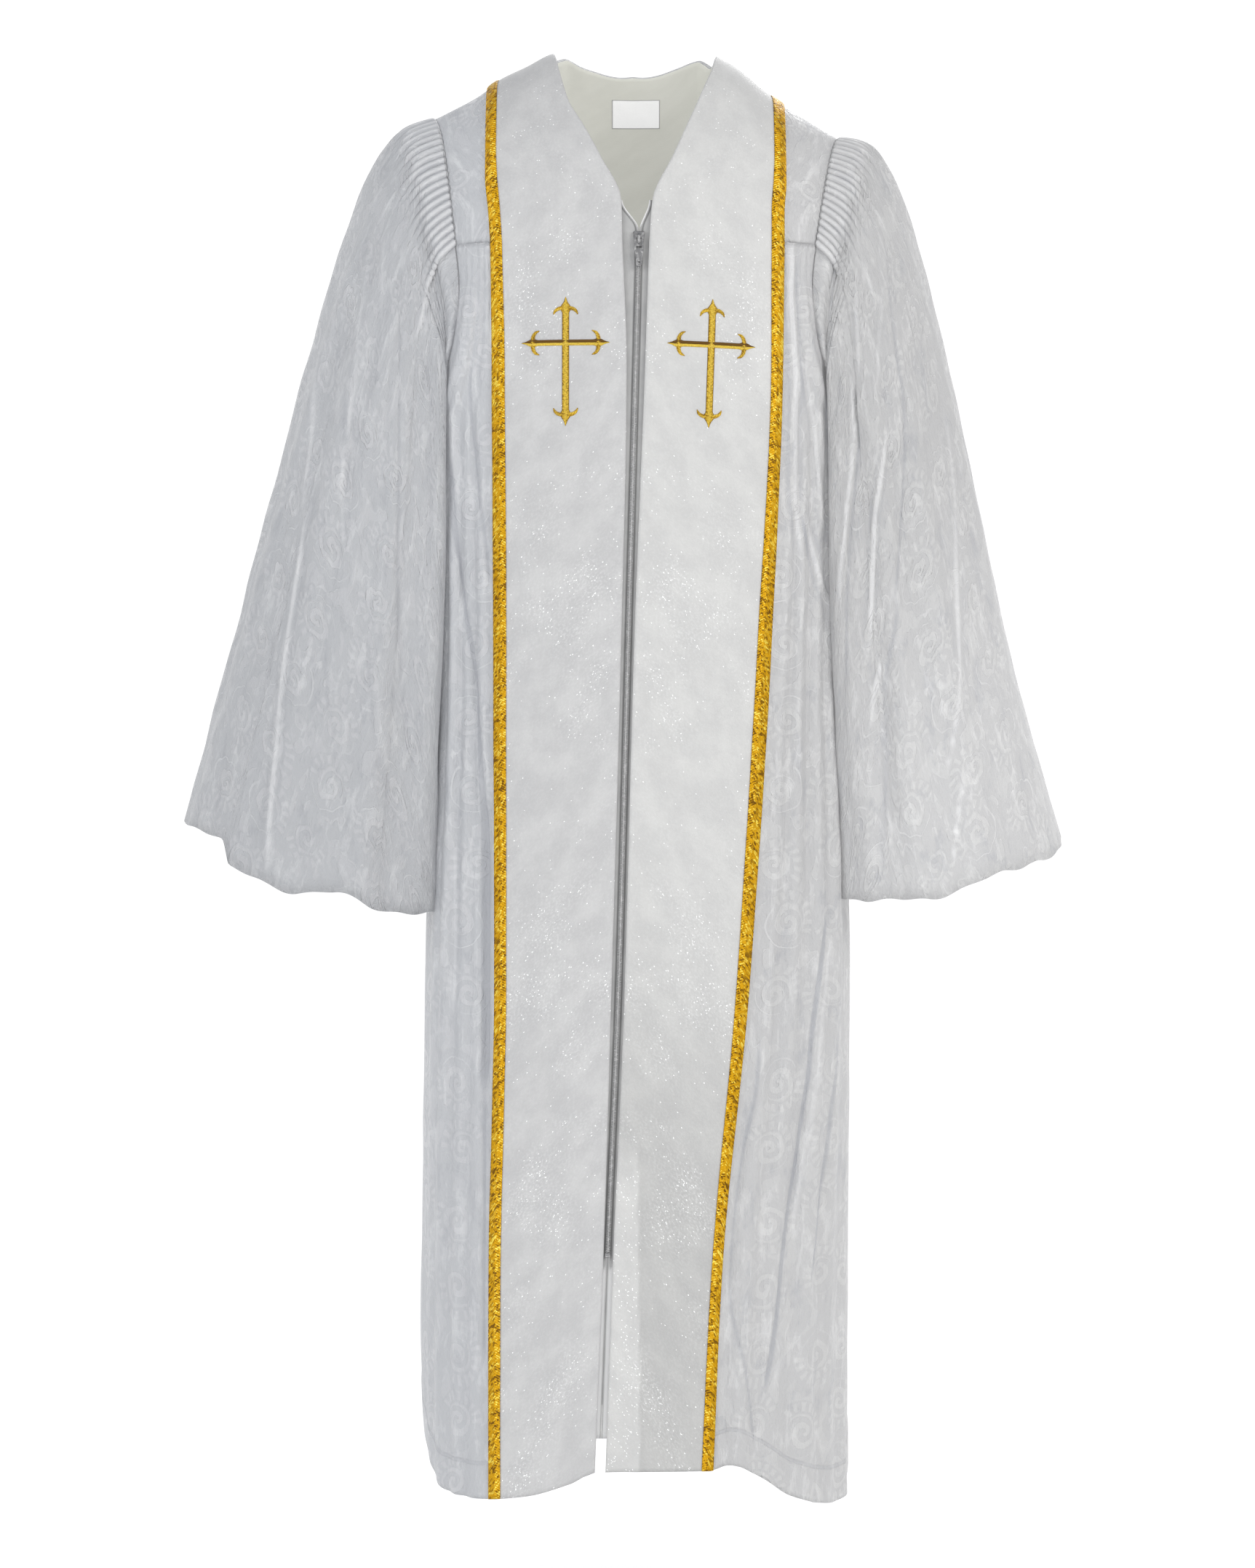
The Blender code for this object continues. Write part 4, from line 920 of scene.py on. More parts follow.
@dataclass(frozen=True)
class GoldThread:
    """Satin stitch in gold thread, laid across each part of the motif."""

    name: str
    dark: Colour = (0.16, 0.075, 0.004)
    gold: Colour = (0.68, 0.385, 0.008)
    bright: Colour = (0.98, 0.72, 0.10)
    slant: float = 0.35
    thread: float = 0.55 * MM

    def make(self) -> Finish:
        """Builds the material."""
        desk = Desk(self.name, {"Metallic": 0.3, "Sheen Weight": 0.1, "Specular IOR Level": 0.3})
        place = desk.cloth()
        x, y, _ = desk.split(place)
        thread = desk.math("SINE", desk.times(desk.ramp(x, self.slant, y), 2 * math.pi / self.thread))
        uneven = desk.noise(desk.stretch(place, 0.4, 2.2), 900.0, 1.0)
        fleck = desk.noise(place, 640.0, 1.0)
        tone = desk.math("ADD", desk.ramp(thread, 0.12, desk.ramp(fleck, 1.3, -0.65)), uneven)
        # Painted light and shade from the crest mark: darker edges and upper halves of the beams, lighter
        # middles and lower halves
        turned = desk.mark("crest")
        colour = desk.layers(
            self.dark,
            (desk.step(tone, 0.10, 0.42), 1.0, self.gold),
            # Bright threads: partly the thread's own colour, partly painted glints
            (desk.step(tone, 0.52, 0.80), 1.0, self.bright),
            (desk.step(turned, -0.1, -0.9), 1.0, self.dark),
            (desk.step(turned, 0.1, 0.9), 0.6, self.bright),
        )
        normal = desk.relief((thread, 0.12 * MM), (uneven, 0.12 * MM))
        return desk.dress(colour, desk.ramp(uneven, 0.2, 0.28), normal)


@dataclass(frozen=True)
class PlainWeave:
    """Plain woven cloth, tape or satin in one colour, a little uneven."""

    name: str
    colour: Colour
    light: Colour
    roughness: float = 0.8
    pitch: float = 0.7 * MM
    relief: float = 0.06 * MM
    sheen: float = 0.1
    # Painted light: how strongly the cloth gives off light of its own
    painted_glow: float = 0.0
    # groove is how dark the painted shade in grooves is; ridge is the painted highlight on ridges
    groove: float = 1.0
    ridge: Colour = grey(0.80)

    def make(self) -> Finish:
        """Builds the material; where it is set, the cloth gives off light of its own, painted light that
        stands in for light through thin cloth.
        """
        desk = Desk(self.name, {"Sheen Weight": self.sheen, "Emission Strength": self.painted_glow})
        place = desk.cloth()
        cloud = desk.noise(place, 22.0, 3.0, 0.6)
        slub = desk.noise(desk.stretch(place, 1.0, 14.0), 160.0, 2.0)
        threads = desk.weave(place, self.pitch)
        colour = desk.blend(desk.step(cloud, 0.3, 0.72), self.colour, self.light)
        colour = desk.blend(desk.times(threads, 0.22), colour, self.light)
        # Painted shade in the crest mask's grooves and painted highlight on its ridges
        crest = desk.mark("crest")
        deep = desk.blend(1.0, colour, grey(self.groove), "MULTIPLY")
        colour = desk.blend(desk.step(crest, -0.1, -0.9), colour, deep)
        colour = desk.blend(desk.step(crest, 0.1, 0.9), colour, self.ridge)
        # Painted light: the cloth gives off light in its own colour
        desk.feed(desk.shader.inputs["Emission Color"], colour)
        normal = desk.relief((threads, self.relief), (slub, 0.1 * MM))
        return desk.dress(colour, desk.ramp(slub, 0.14, self.roughness - 0.07), normal)


@dataclass(frozen=True)
class ZipMetal:
    """Plated zip metal, brushed and worn bright in places."""

    name: str
    colour: Colour = grey(0.40)
    worn: Colour = grey(0.55)
    roughness: float = 0.48

    def make(self) -> Finish:
        """Builds the material."""
        desk = Desk(self.name, {"Metallic": 0.85})
        place = desk.add("TexCoord").outputs["Object"]
        wear = desk.noise(place, 310.0, 4.0, solid=True)
        brush = desk.noise(desk.vector("MULTIPLY", place, (1.0, 1.0, 0.08)), 4200.0, solid=True)
        colour = desk.blend(desk.step(wear, 0.45, 0.7), self.colour, self.worn)
        rough = desk.ramp(wear, 0.25, self.roughness - 0.1)
        return desk.dress(colour, rough, desk.relief((brush, 0.03 * MM)))


class Wardrobe:
    """Every finish of the robe, made once."""

    def __init__(self) -> None:
        """Builds the materials."""
        # Lit and shaded copies of one brocade, painted light and shade: warmer and brighter on the right
        # where the warm key light falls, cooler on the left, darker on the sleeves
        warm_lit = {"ground": (0.48, 0.48, 0.485), "figure": grey(0.535), "line": grey(0.78)}
        self.brocades = {
            Side.LEFT: Brocade("brocade_left", tone=0.95, low=0.97).make(),
            Side.RIGHT: Brocade("brocade_right", tone=0.93, low=0.98, **warm_lit).make(),
        }
        self.back = Brocade("brocade_back", ground=(0.465, 0.47, 0.483), tone=0.935).make()
        self.sleeves = {
            Side.LEFT: Brocade("brocade_sleeve_left", tone=0.85, low=0.96).make(),
            Side.RIGHT: Brocade("brocade_sleeve_right", tone=0.86, low=1.15, **warm_lit).make(),
        }
        # Lit and shaded copies of one glitter cloth, painted light and shade: the right panel brighter and
        # warmer where the key light falls, and darker lower down
        self.panels = {
            Side.LEFT: GlitterCloth("glitter_left", (0.482, 0.482, 0.486), grey(0.55)).make(),
            Side.RIGHT: GlitterCloth(
                "glitter_right", (0.536, 0.536, 0.531), (0.596, 0.596, 0.586), low=0.81
            ).make(),
        }
        self.braid = GoldBraid("gold_braid_weave").make()
        self.thread = GoldThread("gold_satin_stitch").make()
        # Painted light and shade: the lining and label give off light of their own, the label is darkened
        # along its edges, and the tape beside its teeth
        self.lining = PlainWeave(
            "lining_weave", (0.40, 0.40, 0.362), (0.425, 0.425, 0.387), painted_glow=0.80
        ).make()
        self.label = PlainWeave(
            "label_weave", (0.74, 0.74, 0.735), (0.78, 0.78, 0.775),
            roughness=0.5, pitch=0.5 * MM, sheen=0.3, painted_glow=0.55, groove=0.35,
        ).make()
        self.tape = PlainWeave(
            "zip_tape_weave", grey(0.40), (0.50, 0.50, 0.495),
            roughness=0.85, pitch=1.1 * MM, relief=0.15 * MM, groove=0.46,
        ).make()
        self.metal = ZipMetal("zip_plate", (0.22, 0.22, 0.225), grey(0.48), roughness=0.36).make()
        self.teeth = ZipMetal("zip_teeth_plate").make()


# Making pieces


def crest_mask(
    rise: Array, across: Array, reach: float = 6 * MM, sharp: float = 1.6 * MM, least: float = 0.6 * MM
) -> Array:
    """Where cloth is sharply creased: 1 on a ridge, -1 in a groove, 0 where plain; the finishes paint
    highlights and shade from it.

    Args:
        rise: How far each grid point stands out.
        across: How far along its row each point is, in metres.
        reach: How wide the surroundings are that it is set against.
        sharp: How far over them a full ridge stands.
        least: How far a full ridge stands out of the plain cloth.

    Returns:
        The mask for each point.
    """
    mask = np.zeros(rise.shape)
    for row in range(rise.shape[0]):
        beside = np.interp(across[row] - reach, across[row], rise[row])
        beside += np.interp(across[row] + reach, across[row], rise[row])
        mask[row] = (rise[row] - beside / 2) / sharp
    lit = np.clip(rise / least, 0, 1)
    return np.clip(np.where(mask > 0, mask * lit, mask), -1, 1)


def measure(points: Array) -> tuple[Array, Array]:
    """How far each grid point is across and down the cloth, in metres."""
    across = np.linalg.norm(np.diff(points, axis=1), axis=2)
    across = np.concatenate((np.zeros((len(points), 1)), np.cumsum(across, axis=1)), axis=1)
    down = np.linalg.norm(np.diff(points, axis=0), axis=2)
    down = np.concatenate((np.zeros((1, points.shape[1])), np.cumsum(down, axis=0)), axis=0)
    return across, down


def turned_hem(points: Array, rise: float = 0.7 * MM, edge: float = 6 * MM) -> Array:
    """How far the doubled cloth of a turned-up hem stands out.

    Args:
        points: The body's grid, its last row on the hem.
        rise: How far it stands out.
        edge: How wide the step at its stitched edge is.

    Returns:
        The rise at each point.
    """
    above = points[..., 2] - points[-1:, :, 2]
    return rise * smooth((HEM_DEPTH - above) / edge + 0.5)


@dataclass(frozen=True)
class Cut:
    """The flat size that a sheet was cut to, and how the finished sheet is held."""

    width: float
    length: float
    held: str


def place_object(name: str, data: Any) -> Piece:
    """Puts a mesh, light or camera into the scene."""
    piece = bpy.data.objects.new(name, data)
    bpy.context.scene.collection.objects.link(piece)
    return piece


@dataclass
class Sheet:
    """A piece of cloth over a grid of points on its outer side."""

    name: str
    points: Array
    normals: Array
    thick: float
    wrap: bool = False
    crest: Array | None = None
    middle: int | None = None
    hemmed: bool = False

    def make(self, material: Finish) -> Piece:
        """Builds the cloth and gives it its thickness, inwards.

        Args:
            material: Its finish.

        Returns:
            The finished piece.
        """
        rows, columns = self.points.shape[:2]
        bm = bmesh.new()
        bmesh.ops.create_grid(bm, x_segments=columns - 1, y_segments=rows - 1, size=0.5)
        mesh = bpy.data.meshes.new(self.name)
        bm.to_mesh(mesh)
        bm.free()
        flat = np.empty(len(mesh.vertices) * 3)
        mesh.vertices.foreach_get("co", flat)
        flat = flat.reshape(-1, 3)
        column = np.rint((flat[:, 0] + 0.5) * (columns - 1)).astype(int)
        row = np.rint((flat[:, 1] + 0.5) * (rows - 1)).astype(int)
        side = np.cross(np.gradient(self.points, axis=1), np.gradient(self.points, axis=0))
        if np.sum(side * self.normals) < 0:
            row = rows - 1 - row
        mesh.vertices.foreach_set("co", self.points[row, column].ravel())
        across, down = measure(self.points)
        if self.middle is not None:
            across = across - across[:, self.middle:self.middle + 1]
        corner = np.empty(len(mesh.loops), dtype=int)
        mesh.loops.foreach_get("vertex_index", corner)
        place = np.stack((across[row, column], -down[row, column]), axis=1)[corner]
        mesh.uv_layers.new(name="cloth").data.foreach_set("uv", place.ravel())
        # The crest mark, which the finishes turn into painted light and shade
        if self.crest is not None:
            mesh.attributes.new("crest", "FLOAT", "POINT").data.foreach_set("value", self.crest[row, column])
        if self.hemmed:
            above = (self.points[..., 2] - self.points[-1:, :, 2])[row, column]
            mesh.attributes.new("hem", "FLOAT", "POINT").data.foreach_set("value", above)
        if self.wrap:
            bm = bmesh.new()
            bm.from_mesh(mesh)
            bmesh.ops.remove_doubles(bm, verts=bm.verts[:], dist=0.001 * MM)
            bm.to_mesh(mesh)
            bm.free()
        mesh.shade_smooth()
        mesh.update()
        mesh.materials.append(material)
        piece = place_object(self.name, mesh)
        wall = piece.modifiers.new("cloth", "SOLIDIFY")
        wall.thickness = self.thick
        wall.offset = -1.0
        wall.use_quality_normals = True
        return piece

    def lay(self, material: Finish, slot: str, node: str, cut: Cut, *rests_on: str) -> None:
        """Args:
            material: Its finish.
            slot: Name of its material slot, handed on to settle; not used.
            node: The CAD node that it stands for.
            cut: The size that it was cut to; not used.
            *rests_on: What it lies on or hangs from; not used.
        """
        piece = self.make(material)
        settle(piece, slot, node)


def settle(piece: Piece, slot: str, *nodes: str) -> None:
    """Puts a finished piece on the robe's body, in the place of its CAD nodes.

    Args:
        piece: The piece.
        slot: Name of its material slot; not used.
        *nodes: The CAD nodes that it stands for.
    """
    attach(piece, "robe")
    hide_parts(*nodes)
    LOG.info("%s: %d vertices, for %s", piece.name, len(piece.data.vertices), ", ".join(nodes))


def plain_mesh(name: str, bm: bmesh.types.BMesh, material: Finish, angle: float = 40.0) -> Piece:
    """Turns a closed bmesh into a piece with its faces out.

    Args:
        name: Its name.
        bm: Its mesh, which is freed.
        material: Its finish.
        angle: Edges sharper than this stay sharp.

    Returns:
        The piece.
    """
    bmesh.ops.recalc_face_normals(bm, faces=bm.faces[:])
    mesh = bpy.data.meshes.new(name)
    bm.to_mesh(mesh)
    bm.free()
    mesh.shade_smooth()
    mesh.set_sharp_from_angle(angle=math.radians(angle))
    mesh.materials.append(material)
    return place_object(name, mesh)


def braid_lift(count: int) -> Array:
    """How far the domed braid stands over the body's cloth, at points across it."""
    dome = np.sin(np.linspace(0, math.pi, count)) ** 0.5
    return PANEL_TOP + GAP + BRAID_WALL + (BRAID - BRAID_WALL) * dome


# The robe's pieces


@dataclass
class Front:
    """One half of the front: yoke, body, panel and braid."""

    side: Side
    wardrobe: Wardrobe
    yoke_rows: int = 44
    body_rows: int = 230
    panel_columns: int = 40
    braid_columns: int = 8
    body_columns: int = 104
    yoke_columns: int = 34
    hidden_step: int = 5
    panel_swell: float = 0.55 * MM
    panel_wave: float = 210 * MM
    panel_levels: Span = (-60 * MM, -260 * MM)
    softness: float = 0.55
    top_softness: float = 0.45
    full_level: float = -522 * MM
    swell: float = 1.2 * MM
    wave: float = 130 * MM
    braid_calm: float = 0.05
    hem_calm: float = 0.03
    seam_calm: float = 0.15
    lip_depth: float = 4.5 * MM
    lip_width: float = 3.15 * MM
    lip_rise: float = 1.3 * MM
    flank_rise: float = 20 * MM
    flank_place: float = 0.60
    flank_width: float = 0.25
    flank_start: Span = (YOKE_LEVEL, -332 * MM)
    flank_end: Span = (-950 * MM, -1200 * MM)
    ridge_highlight: float = 0.6
    body_cut: Cut = Cut(0.36, 1.19, "hung")
    yoke_cut: Cut = Cut(0.21, 0.26, "laid")
    panel_cut: Cut = Cut(0.13, 1.42, "hung")
    braid_cut: Cut = Cut(0.012, 1.42, "laid")

    def __post_init__(self) -> None:
        """Works out the rows and the zone under the panel."""
        self.turns = np.linspace(1.0, 0.0, self.yoke_rows)
        self.levels = np.linspace(YOKE_LEVEL, HEM_LEVEL, self.body_rows)
        main = np.linspace(0, 1, self.panel_columns)
        self.shares = np.concatenate((main, np.linspace(1, 2, self.braid_columns + 1)[1:]))
        self.zone, self.zone_normals = self.panel_zone()

    def panel_zone(self) -> tuple[Array, Array]:
        """Points and normals under the panel, from the ridge to the hem."""
        yoke_x = FORM.edges(self.side, YOKE_EDGES, self.turns, self.shares)
        body_x = FORM.edges(self.side, BODY_EDGES, self.levels[1:] / MM, self.shares)
        yoke = FORM.yoke(yoke_x, self.turns[:, None], Face.FRONT)
        body = FORM.body(body_x, self.levels[1:, None], Face.FRONT)
        points = np.concatenate((yoke, body))
        plain = grid_normals(points)
        x, z = points[..., 0], points[..., 2]
        rise = sum(crease.height(x, z) for crease in PANEL_CREASES[self.side])
        rise = rise + self.panel_swell * ripple(points, self.panel_wave, 3.0 + self.side.value)
        rise = rise * ease(z, *self.panel_levels)
        points = points + plain * rise[..., None]
        return points, grid_normals(points)

    def body_grid(self) -> tuple[Array, Array, Array]:
        """Points, normals and creases of the body, from the zip to the side seam."""
        z = self.levels[:, None]
        outer = FORM.edges(self.side, BODY_EDGES, self.levels / MM, np.array([2.0]))
        first = np.abs(FORM.ring_turn(outer, z))
        share = np.linspace(0, 1, self.body_columns)[None, 1:]
        turn = np.radians(first + (FORM.side_turn(z) - first) * share)
        x = self.side.value * FORM.half_width(np.full_like(turn, self.side.value), z) * np.sin(turn)
        points = FORM.body(x, z, Face.FRONT)
        flank = ease(z, *self.flank_start) * (1 - ease(z, *self.flank_end))
        points[..., 1] -= self.flank_rise * flank * hump(share, self.flank_place, self.flank_width)
        plain = grid_normals(points)
        near = ease(share, 0, self.braid_calm) * ease(share, 1, 1 - self.seam_calm)
        creases = sum(crease.height(points[..., 0], points[..., 2]) for crease in BODY_CREASES[self.side])
        creases = creases * near + turned_hem(points) * ease(share, 0, self.hem_calm)
        lip = self.lip_rise * hump(YOKE_LEVEL - z, self.lip_depth, self.lip_width)
        creases = creases + lip * (1 + 0.4 * np.sin(40 * share + self.side.value)) * near
        swell = self.swell * ripple(points, self.wave, 5.0 + self.side.value) * near
        calm = self.top_softness + (1 - self.top_softness) * ease(z, YOKE_LEVEL, self.full_level)
        folds = self.softness * calm * FORM.fold_rise(FRONT_FOLDS[self.side], share, z)
        points = points + plain * (folds + swell + creases)[..., None]
        zone = self.zone[self.yoke_rows - 1:]
        points = np.concatenate((zone, points), axis=1)
        creases = np.concatenate((np.zeros(zone.shape[:2]), creases), axis=1)
        normals = grid_normals(points)
        normals[:, :zone.shape[1]] = self.zone_normals[self.yoke_rows - 1:]
        return points, normals, creases

    def yoke_grid(self) -> tuple[Array, Array]:
        """Points and normals of the yoke, from the neck edge to the armhole."""
        side_x = FORM.edges(self.side, YOKE_EDGES, self.turns, np.array([2.0]))
        armhole = self.side.value * ARMHOLE.read(self.side.word, self.turns)[:, None] * MM
        share = np.linspace(0, 1, self.yoke_columns)[None, 1:]
        points = FORM.yoke(side_x + (armhole - side_x) * share, self.turns[:, None], Face.FRONT)
        points = np.concatenate((self.zone[:self.yoke_rows], points), axis=1)
        normals = grid_normals(points)
        normals[:, :self.zone.shape[1]] = self.zone_normals[:self.yoke_rows]
        return points, normals

    def lit_strip(self, skin: Array) -> Array:
        """Mask of the strip beside the zip that the right panel keeps lit: painted light, with more painted
        glints and none of the lower painted shade.

        Args:
            skin: The panel's grid.

        Returns:
            The mask for each point, 0 all over the left panel.
        """
        if self.side is Side.LEFT:
            return np.zeros(skin.shape[:2])
        line = PANEL_CREASES[Side.RIGHT][0].line
        x, level = skin[..., 0] / MM, skin[..., 2] / MM
        edge = Table("level across", line).read("across", level)
        return ease(x, edge + 3, edge + 1) * ease(level, line[-1][0], line[-1][0] - 60)

    def build(self) -> None:
        """Builds and dresses the four layers."""
        word = self.side.word
        cloth = self.wardrobe.brocades[self.side]
        points, normals, rise = self.body_grid()
        across, _ = measure(points)
        last = self.zone.shape[1] - 1
        keep = np.concatenate((np.arange(0, last, self.hidden_step), np.arange(last, points.shape[1])))
        skin = (points + normals * CLOTH)[:, keep]
        crest = crest_mask(rise, across)[:, keep]
        # Painted highlight on the front's ridges, made weaker
        crest = np.where(crest > 0, self.ridge_highlight * crest, crest)
        sheet = Sheet("cloth_front_" + word, skin, normals[:, keep], CLOTH, crest=crest, hemmed=True)
        sheet.lay(cloth, "brocade", "front_" + word, self.body_cut, "front_yoke_" + word)

        points, normals = self.yoke_grid()
        sheet = Sheet("cloth_yoke_" + word, points + normals * CLOTH, normals, CLOTH)
        sheet.lay(cloth, "brocade", "front_yoke_" + word, self.yoke_cut, "back_yoke")

        skin = self.zone + self.zone_normals * PANEL_TOP
        # Painted light: the strip beside the zip that the panel's finish keeps bright
        strip = self.lit_strip(skin)
        sheet = Sheet("cloth_panel_" + word, skin, self.zone_normals, PANEL, crest=strip)
        glitter = self.wardrobe.panels[self.side]
        beneath = ("cloth_yoke_" + word, "cloth_front_" + word)
        sheet.lay(glitter, "glitter_cloth", "panel_" + word, self.panel_cut, *beneath)

        part = np.s_[:, self.panel_columns - 1:]
        lift = braid_lift(self.braid_columns + 1)[None, :, None]
        skin = self.zone[part] + self.zone_normals[part] * lift
        sheet = Sheet("braid_edge_" + word, skin, self.zone_normals[part], BRAID_WALL)
        braid = self.wardrobe.braid
        sheet.lay(braid, "gold_braid", "braid_" + word, self.braid_cut, "cloth_panel_" + word)


@dataclass
class Back:
    """The back: yoke with its lining, neck band and braid, and the folded body."""

    wardrobe: Wardrobe
    round_columns: int = 96
    ring_rows: int = 54
    rounding: int = 24
    body_rows: int = 210
    body_columns: int = 172
    band_rows: int = 34
    braid_rows: int = 9
    softness: float = 1.15
    crease_share: float = 0.8
    seam_calm: float = 0.15
    swell: float = 1.2 * MM
    wave: float = 130 * MM
    braid_mark: float = 0.43
    band_mark: float = 0.525
    lining: float = 1.0 * MM
    pucker: float = 0.25 * MM
    pucker_wave: float = 50 * MM
    body_cut: Cut = Cut(0.66, 1.19, "hung")
    yoke_cut: Cut = Cut(0.42, 0.26, "laid")
    band_cut: Cut = Cut(0.36, 0.30, "laid")
    braid_cut: Cut = Cut(0.44, 0.018, "laid")

    def rounded(self, line: Array) -> Array:
        """A line with its corners rounded off."""
        window = np.hanning(2 * self.rounding + 3)[1:-1]
        padded = np.pad(line, self.rounding, "reflect", reflect_type="odd")
        return np.convolve(padded, window / window.sum(), "valid")

    def yoke_points(self, rings: Array, rounded: bool = False) -> tuple[Array, Array]:
        """Points and normals behind the ridge.

        Args:
            rings: Shares of the way from the neck edge to the yoke's outer edge.
            rounded: Whether the outer edge's corners are rounded off.

        Returns:
            A row for each ring, with the columns round the neck.
        """
        place = np.linspace(0, NECK_COLUMNS, self.round_columns + 1)
        angle = math.pi * place / NECK_COLUMNS
        middle = (FORM.neck_left + FORM.neck_right) / 2
        neck_x = middle - (FORM.neck_right - FORM.neck_left) / 2 * np.cos(angle)
        neck_turn = 1 - FORM.neck_dip * np.sin(angle)
        from_end = np.minimum(place, NECK_COLUMNS - place)
        corner = from_end <= CORNER_COLUMNS
        outer_turn = np.where(corner, 1 - from_end / CORNER_COLUMNS, 0.0)
        left = place <= NECK_COLUMNS / 2
        armhole = np.where(left, -ARMHOLE.read("left", outer_turn), ARMHOLE.read("right", outer_turn)) * MM
        way = (place - CORNER_COLUMNS) / (NECK_COLUMNS - 2 * CORNER_COLUMNS)
        low, high = -ARMHOLE.read("left", 0.0) * MM, ARMHOLE.read("right", 0.0) * MM
        outer_x = np.where(corner, armhole, low + (high - low) * way)
        if rounded:
            outer_x, outer_turn = self.rounded(outer_x), self.rounded(outer_turn)
        ring = rings[:, None]
        x = neck_x + (outer_x - neck_x) * ring
        turn = neck_turn + (outer_turn - neck_turn) * ring
        points = FORM.yoke(x, turn, Face.BACK)
        return points, grid_normals(points)

    def body_grid(self) -> tuple[Array, Array, Array]:
        """Points, normals and relief from the left side seam to the right one."""
        z = np.linspace(YOKE_LEVEL, HEM_LEVEL, self.body_rows)[:, None]
        share = np.linspace(-1, 1, self.body_columns)[None, :]
        turn = np.radians(FORM.side_turn(z) * share)
        x = FORM.half_width(share * np.ones_like(z), z) * np.sin(turn)
        points = FORM.body(x, z, Face.BACK)
        plain = grid_normals(points)
        lean = 0.035 * np.sin(7.0 * share + 2.1 * z) * (1 - share ** 2)
        creases = turned_hem(points)
        for side in Side:
            for number, crease in enumerate(BODY_CREASES[side]):
                shift = side.value * (18 - 23 * (number % 3)) * MM
                creases = creases + self.crease_share * crease.height(points[..., 0] + shift, points[..., 2])
        near = ease(np.abs(share), 1, 1 - self.seam_calm)
        swell = self.swell * ripple(points, self.wave, 8.0)
        rise = self.softness * FORM.fold_rise(BACK_FOLDS, np.abs(share + lean), z) + (swell + creases) * near
        points = points + plain * rise[..., None]
        return points, grid_normals(points), creases * near

    def build(self) -> None:
        """Builds and dresses every layer."""
        cloth, lining = self.wardrobe.back, self.wardrobe.lining
        rings = np.linspace(0, 1, self.ring_rows)
        points, normals = self.yoke_points(rings)
        sheet = Sheet("cloth_back_yoke", points + normals * CLOTH, normals, CLOTH)
        sheet.lay(cloth, "brocade", "back_yoke", self.yoke_cut)

        pucker = self.pucker * smooth(1 - rings)[:, None] * (1 + ripple(points, self.pucker_wave, 2.0))
        skin = points - normals * (GAP + self.lining + pucker)[..., None]
        sheet = Sheet("lining_back_yoke", skin, -normals, self.lining)
        sheet.lay(lining, "plain_lining", "back_lining", self.yoke_cut, "cloth_back_yoke")

        points, normals = self.yoke_points(np.linspace(0, self.band_mark, self.band_rows), rounded=True)
        sheet = Sheet("cloth_panel_back", points + normals * PANEL_TOP, normals, PANEL)
        glitter = self.wardrobe.panels[Side.LEFT]
        sheet.lay(glitter, "glitter_cloth", "panel_back", self.band_cut, "cloth_back_yoke")

        rings = np.linspace(self.braid_mark, self.band_mark, self.braid_rows)
        points, normals = self.yoke_points(rings, rounded=True)
        skin = (points + normals * braid_lift(self.braid_rows)[:, None, None]).transpose(1, 0, 2)
        sheet = Sheet("braid_edge_back", skin, normals.transpose(1, 0, 2), BRAID_WALL)
        sheet.lay(self.wardrobe.braid, "gold_braid", "braid_back", self.braid_cut, "cloth_panel_back")

        points, normals, rise = self.body_grid()
        skin = points + normals * CLOTH
        crest = crest_mask(rise, measure(points)[0])
        middle = self.body_columns // 2
        sheet = Sheet("cloth_back", skin, normals, CLOTH, crest=crest, middle=middle, hemmed=True)
        sheet.lay(cloth, "brocade", "back", self.body_cut, "cloth_back_yoke")


